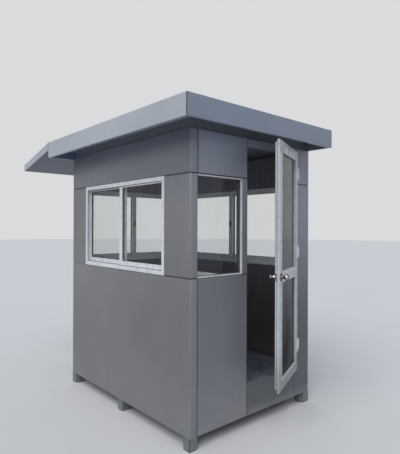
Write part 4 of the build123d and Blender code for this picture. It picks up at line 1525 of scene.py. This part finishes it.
@dataclass
class Lock:
    """Knobs, roses, latch bolt and strike."""

    neck: float = 0.013
    neck_length: float = 0.018
    belly: float = 0.026
    belly_height: float = 0.042
    face: float = 0.016
    rim: float = 0.002
    dish: float = 0.001
    flare: float = 1.6
    play: float = 0.0003
    steps: int = 48
    barrel: Profile = ((0.0, -0.001), (0.007, -0.001), (0.007, 0.0006), (0.0062, 0.001), (0.0, 0.001))
    key_slot: tuple[float, float] = (0.0016, 0.008)
    key_depth: tuple[float, float] = (-0.0001, 0.0005)
    button: tuple[float, float] = (0.016, 0.0044)
    button_height: float = 0.005
    button_ease: float = 0.0015
    rose_ease: float = 0.0022
    bolt_height: float = 0.016
    bolt_width: float = 0.012
    bolt_root: float = 0.002
    bolt_reach: float = 0.0035
    bolt_ease: float = 0.0025
    strike_height: float = 0.07
    strike_thickness: float = 0.001
    strike_inset: float = 0.002
    strike_ease: float = 0.0004
    pocket_height: float = 0.024
    pocket_inset: float = 0.005
    screw: float = 0.003
    bolt_screws: tuple[float, ...] = (-0.022, 0.022)
    strike_screws: tuple[float, ...] = (-0.026, 0.026)

    def __post_init__(self) -> None:
        """Reads the lock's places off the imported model."""
        spindle = Vector(frame["joints"][1]["pos_m"])
        self.x, self.y = (Elevation.LEAF.matrix.inverted() @ spindle).xy
        self.leaf = Elevation.LEAF.span("door_leaf")

    def slab(self, u0: float, u1: float, height: float, w0: float, w1: float) -> Extent:
        """A box of one height, centred on the level of the spindle."""
        return Extent(u0, u1, self.y - height / 2, self.y + height / 2, w0, w1)

    def knob_profile(self) -> Profile:
        """Draws the outline of a turned knob: neck, hollow flare, rounded belly and dished face.

        Returns:
            The outline from the leaf outwards.
        """
        swell, rise = self.belly - self.neck, self.belly_height - self.neck_length
        sweep = acos(self.face / self.belly)
        outline = [(0.0, self.play), (self.neck, self.play)]
        for t in (i / 8 for i in range(9)):
            outline.append((self.neck + swell * t**self.flare, self.neck_length + rise * t))
        for turn in (sweep * i / 10 for i in range(1, 11)):
            outline.append((self.belly * cos(turn), self.belly_height + self.belly * sin(turn)))
        tip = outline[-1][1]
        inner = self.face - self.rim
        return outline + [(inner, tip), (inner - self.rim, tip - self.dish), (0.0, tip - self.dish)]

    def knobs(self) -> None:
        """Turns both knobs, with the key barrel and its slot outside and the turn button inside."""
        x, y = self.x, self.y
        outline = self.knob_profile()
        height = outline[-1][1]
        outside, inside = Vector((x, y, self.leaf.w0)), Vector((x, y, self.leaf.w1))
        pair, key, button = Bench(Elevation.LEAF), Bench(Elevation.LEAF), Bench(Elevation.LEAF)
        pair.turned(outline, outside, -Z_AXIS, self.steps)
        pair.turned(outline, inside, Z_AXIS, self.steps)
        barrel = [(radius, height + rise) for radius, rise in self.barrel]
        pair.turned(barrel, outside, -Z_AXIS, self.steps // 2)
        pair.done("door_knob_pair", METAL, Body.KNOBS, replaces="door_knobs")
        face = outside.z - barrel[-1][1]
        # A black bar for the key slot's opening: painted shade.
        key.bar(Extent.about(x, y, *self.key_slot, *(face + depth for depth in self.key_depth)))
        key.done("door_key_slot_shade", RUBBER, Body.KNOBS)
        top = inside.z + height
        depth = (top - self.dish, top + self.button_height)
        button.bar(Extent.about(x, y, *self.button, *depth), self.button_ease)
        button.done("door_turn_button", METAL, Body.KNOBS)

    def trims(self) -> None:
        """Rounds the roses and the latch plate, and adds the bolt and the screws in the plate."""
        eased_copy("lock_trim", DARK_REFLECTION_METAL, self.rose_ease, Body.DOOR, segments=3)
        edge, back = self.leaf.u1 - Door.lap, self.leaf.w0 + Door.lap
        middle = (back + self.leaf.w1) / 2
        half = self.bolt_width / 2
        reach = (edge - self.bolt_root, edge + self.bolt_reach)
        bolt = Bench(Elevation.LEAF)
        bolt.bar(self.slab(*reach, self.bolt_height, middle - half, middle + half), self.bolt_ease)
        for rise in self.bolt_screws:
            bolt.screw(Vector((edge, self.y + rise, middle)), X_AXIS, self.screw)
        bolt.done("door_latch_bolt", METAL, Body.DOOR)

    def strike(self) -> None:
        """Adds the strike plate on the jamb, with a black patch as painted shade of the pocket that takes the
        bolt.
        """
        jamb = Elevation.FRONT.span("front_mid_pier")
        face = jamb.u1 + self.strike_thickness
        plate, pocket = Bench(Elevation.FRONT), Bench(Elevation.FRONT)
        width = (jamb.w0 + self.strike_inset, jamb.w1 - self.strike_inset)
        plate.bar(self.slab(jamb.u1, face, self.strike_height, *width), self.strike_ease)
        width = (jamb.w0 + self.pocket_inset, jamb.w1 - self.pocket_inset)
        pocket.bar(self.slab(face - SUNK, face + SUNK, self.pocket_height, *width))
        for rise in self.strike_screws:
            plate.screw(Vector((face, self.y + rise, jamb.middle.z)), X_AXIS, self.screw)
        plate.done("door_strike_plate", METAL)
        pocket.done("door_strike_pocket_shade", RUBBER)

    def build(self) -> None:
        """Builds the lock."""
        self.knobs()
        self.trims()
        self.strike()


@dataclass
class Hinges:
    """The three surface hinges, their screws and pin ends."""

    ease: float = 0.0006
    plate: float = 0.0035
    height: float = 0.11
    flap: float = 0.05
    screw: float = 0.0046
    low_rise: float = 0.219
    mid_rise: float = 1.1
    top_drop: float = 0.207
    screw_spots: tuple[tuple[float, float], ...] = ((0.038, -0.038), (0.022, 0.0), (0.038, 0.038))
    cap: Profile = ((0.0, 0.003), (0.004, 0.0025), (0.0065, 0.0012), (0.0072, 0.0), (0.0, 0.0))
    cap_steps: int = 20

    def build(self) -> None:
        """Eases the plates and adds the screws and the pin ends."""
        eased_copy("jamb_hinge_leaves", ENAMEL, self.ease)
        eased_copy("door_hinge_leaves", ENAMEL, self.ease, Body.DOOR)
        leaf = Elevation.LEAF.span("door_leaf")
        face = Elevation.LEAF.span("door_hinge_leaves").w0
        pin = Elevation.LEAF.matrix.translation
        reach = Elevation.FRONT.span("jamb_hinge_leaves").u1 - pin.x
        fixed, moving, pins = Bench(Elevation.FRONT), Bench(Elevation.LEAF), Bench()
        for level in (leaf.v0 + self.low_rise, leaf.v0 + self.mid_rise, leaf.v1 - self.top_drop):
            for column, rise in self.screw_spots:
                u = pin.x + column * reach / self.flap
                fixed.screw(Vector((u, level + rise, -self.plate)), -Z_AXIS, self.screw)
                moving.screw(Vector((column, level + rise, face)), -Z_AXIS, self.screw)
            for way in (1, -1):
                end = Vector((pin.x, pin.y, level + way * self.height / 2))
                pins.turned(self.cap, end, way * Z_AXIS, self.cap_steps)
        fixed.done("jamb_hinge_screws", ZINC)
        moving.done("door_hinge_screws", ZINC, Body.DOOR)
        pins.done("hinge_pin_ends", ENAMEL)


@dataclass
class Interior:
    """What shows through the openings: shelf, skirting, ceiling trim, cover strips and threshold."""

    lining: float = 0.006
    reveal_depth: float = 0.046
    shelf_ease: float = 0.002
    skirting_height: float = 0.05
    skirting: float = 0.009
    skirting_ease: float = 0.003
    cornice_height: float = 0.03
    cornice: float = 0.015
    cornice_ease: float = 0.005
    cover_height: float = 0.036
    cover: float = 0.003
    cover_ease: float = 0.001
    reveal: float = 0.0015
    reveal_inset: float = 0.002
    threshold: float = 0.0018
    threshold_lip: float = 0.003
    threshold_ease: float = 0.0006
    rib: float = 0.0008
    rib_width: float = 0.003
    rib_start: float = 0.02
    rib_pitch: float = 0.008
    rib_count: int = 4

    def __post_init__(self) -> None:
        """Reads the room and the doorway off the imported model."""
        low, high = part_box("inner_linings")
        self.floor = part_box("floor_deck")[1].z
        room = Extent(low.x, high.x, low.y, high.y, self.floor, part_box("ceiling_panel")[0].z)
        self.room = room.spread(-self.lining)
        self.door = Extent(
            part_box("front_mid_pier")[1].x,
            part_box("front_right_pier")[0].x,
            self.room.v0 - self.reveal_depth,
            self.room.v0,
            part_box("threshold_panel")[1].z,
            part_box("door_header")[0].z,
        )

    def edges(self, low: float, high: float, thick: float, doorway: bool) -> Iterator[Extent]:
        """Bars that run round the walls of the room.

        Args:
            low: Their lower level.
            high: Their upper level.
            thick: Their thickness.
            doorway: Whether they stop at the doorway.

        Yields:
            One bar at a time.
        """
        room, door = self.room, self.door
        left, right = room.u0 + thick, room.u1 - thick
        yield Extent(room.u0, left, room.v0, room.v1, low, high)
        yield Extent(right, room.u1, room.v0, room.v1, low, high)
        yield Extent(left, right, room.v1 - thick, room.v1, low, high)
        for start, end in ((left, door.u0), (door.u1, right)) if doorway else ((left, right),):
            yield Extent(start, end, room.v0, room.v0 + thick, low, high)

    def trims(self) -> None:
        """Adds the skirting and the ceiling trim."""
        skirting, cornice = Bench(), Bench()
        for bar in self.edges(self.floor, self.floor + self.skirting_height, self.skirting, True):
            skirting.bar(bar, self.skirting_ease)
        top = self.room.w1
        for bar in self.edges(top - self.cornice_height, top, self.cornice, False):
            cornice.bar(bar, self.cornice_ease)
        skirting.done("room_skirting", TRIM)
        cornice.done("room_ceiling_trim", TRIM)

    def covers(self) -> None:
        """Covers the joints of the wall boards beside the windows, on the left only over the shelf."""
        room = self.room
        window = Elevation.RIGHT.span("right_window_frame")
        right, left = (room.u1 - self.cover, room.u1), (room.u0, room.u0 + self.cover)
        covers = Bench()
        for joint, sides in zip(Cladding.levels(), ((right,), (right, left))):
            level = sum(joint) / 2
            depth = (level - self.cover_height / 2, level + self.cover_height / 2)
            for stretch in ((room.v0, window.u0), (window.u1, room.v1)):
                for side in sides:
                    covers.bar(Extent(*side, *stretch, *depth), self.cover_ease)
        covers.done("room_cover_strips", TRIM)

    def doorway(self) -> None:
        """Lines the reveals of the doorway and lays the ribbed threshold strip."""
        thick = self.reveal
        door = self.door
        lined = replace(door, v0=door.v0 + self.reveal_inset, w0=self.floor, w1=door.w1 - thick)
        reveals, strip = Bench(), Bench()
        reveals.bar(replace(lined, u1=door.u0 + thick), thick / 3)
        reveals.bar(replace(lined, u0=door.u1 - thick), thick / 3)
        reveals.bar(replace(lined, w0=lined.w1, w1=door.w1), thick / 3)
        reveals.done("doorway_reveals", FRONT_CLADDING)
        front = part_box("threshold_panel")[0].y
        top = Extent(
            door.u0 + 2 * thick,
            door.u1 - 2 * thick,
            front + self.threshold_lip,
            door.v1,
            door.w0 - SUNK,
            door.w0 + self.threshold,
        )
        strip.bar(top, self.threshold_ease)
        strip.bar(replace(top, v0=door.v1 - self.threshold_lip, w0=self.floor), self.threshold_ease)
        for i in range(self.rib_count):
            v = front + self.rib_start + i * self.rib_pitch
            rib = replace(top, v0=v, v1=v + self.rib_width, w0=top.w1 - SUNK, w1=top.w1 + self.rib)
            strip.bar(rib, self.threshold_ease / 2)
        strip.done("threshold_strip", FLOOR)

    def build(self) -> None:
        """Builds the inside."""
        eased_copy("wall_shelf", LAMINATE, self.shelf_ease)
        self.trims()
        self.covers()
        self.doorway()


@dataclass
class Studio:
    """The pale floor, the soft light and the camera at the photograph's angle."""

    eye: Point = (-2.112, -2.519, 1.6856)
    heading: float = 41.15
    pitch: float = 0.084
    roll: float = 0.197
    lens: float = 34.04
    sensor: float = 36.0
    floor_radius: float = 60.0
    floor_steps: int = 96
    floor_scale: float = 0.8
    floor_tone: float = 0.03
    floor_colour: Colour = (0.53, 0.53, 0.53)
    sky: Colour = (0.56, 0.60, 0.68)
    backdrop: Colour = (0.70, 0.71, 0.72)
    lamp_strength: float = 2.3
    lamp_heading: float = 208.0
    lamp_height: float = 48.0
    lamp_softness: float = 50.0

    def camera(self) -> None:
        """Puts the camera where the photograph was taken from."""
        data = bpy.data.cameras.new("photo_camera")
        data.lens = self.lens
        data.sensor_width = self.sensor
        camera = placed("photo_camera", data)
        turn = Matrix.Rotation(-radians(self.heading), 4, "Z")
        lift = Matrix.Rotation(pi / 2 + radians(self.pitch), 4, "X")
        tilt = Matrix.Rotation(radians(self.roll), 4, "Z")
        camera.matrix_world = Matrix.Translation(self.eye) @ turn @ lift @ tilt
        bpy.context.scene.camera = camera

    def floor(self) -> None:
        """Lays the plain pale floor."""
        graph = Graph(bpy.data.materials.new("studio_floor"))
        cloud = graph.noise(self.floor_scale, 3.0).within(0.3, 0.7)
        colour = graph.tint(self.floor_colour, shaded(self.floor_colour, 1 - self.floor_tone), cloud)
        disc = bmesh.new()
        bmesh.ops.create_circle(disc, cap_ends=True, segments=self.floor_steps, radius=self.floor_radius)
        mesh = bpy.data.meshes.new("studio_floor")
        disc.to_mesh(mesh)
        disc.free()
        mesh.materials.append(
            graph.surface({"Base Color": colour, "Roughness": 0.9, "Specular IOR Level": 0.1})
        )
        placed("studio_floor", mesh)

    def surroundings(self) -> None:
        """Lights the booth evenly all round. The camera, glass and metal see a plain backdrop instead."""
        world = bpy.data.worlds.new("studio_sky")
        bpy.context.scene.world = world
        graph = Graph(world)
        path = graph.node("ShaderNodeLightPath")
        shown = Value(graph, path.outputs["Is Camera Ray"])
        for kind in ("Glossy", "Transmission"):
            shown = graph.sum_of("MAXIMUM", shown, Value(graph, path.outputs[f"Is {kind} Ray"]))
        light = graph.shader("ShaderNodeBackground", self.sky)
        backdrop = graph.shader("ShaderNodeBackground", self.backdrop)
        graph.close("ShaderNodeOutputWorld", graph.blend(light, backdrop, shown))

    def lamp(self) -> None:
        """Hangs one soft, far lamp on the left."""
        data = bpy.data.lights.new("left_lamp", "SUN")
        data.energy = self.lamp_strength
        data.angle = radians(self.lamp_softness)
        heading, height = radians(self.lamp_heading), radians(self.lamp_height)
        source = Vector((cos(height) * cos(heading), cos(height) * sin(heading), sin(height)))
        placed("left_lamp", data).rotation_euler = source.to_track_quat("Z", "Y").to_euler()

    def build(self) -> None:
        """Sets up the whole studio."""
        bpy.context.scene.view_settings.view_transform = "Standard"
        self.camera()
        self.floor()
        self.surroundings()
        self.lamp()


def dress_solids() -> None:
    """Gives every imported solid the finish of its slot."""
    for row in frame["record"]["subparts"]:
        solid = frame["nodes"][row["node"]]
        solid.data.materials.clear()
        solid.data.materials.append(SLOT_FINISHES[row["material_slot"]].material)


def main() -> None:
    """Builds the studio and every piece of the booth in order."""
    logging.basicConfig(level=logging.INFO, format="%(message)s")
    Studio().build()
    dress_solids()
    Legs().build()
    Cladding().build()
    Roof().build()
    for side in (Elevation.LEFT, Elevation.RIGHT, Elevation.BACK):
        SlidingWindow(side).build()
    CornerWindow().build()
    Door().build()
    Lock().build()
    Hinges().build()
    Interior().build()


if __name__ == "__main__":
    main()
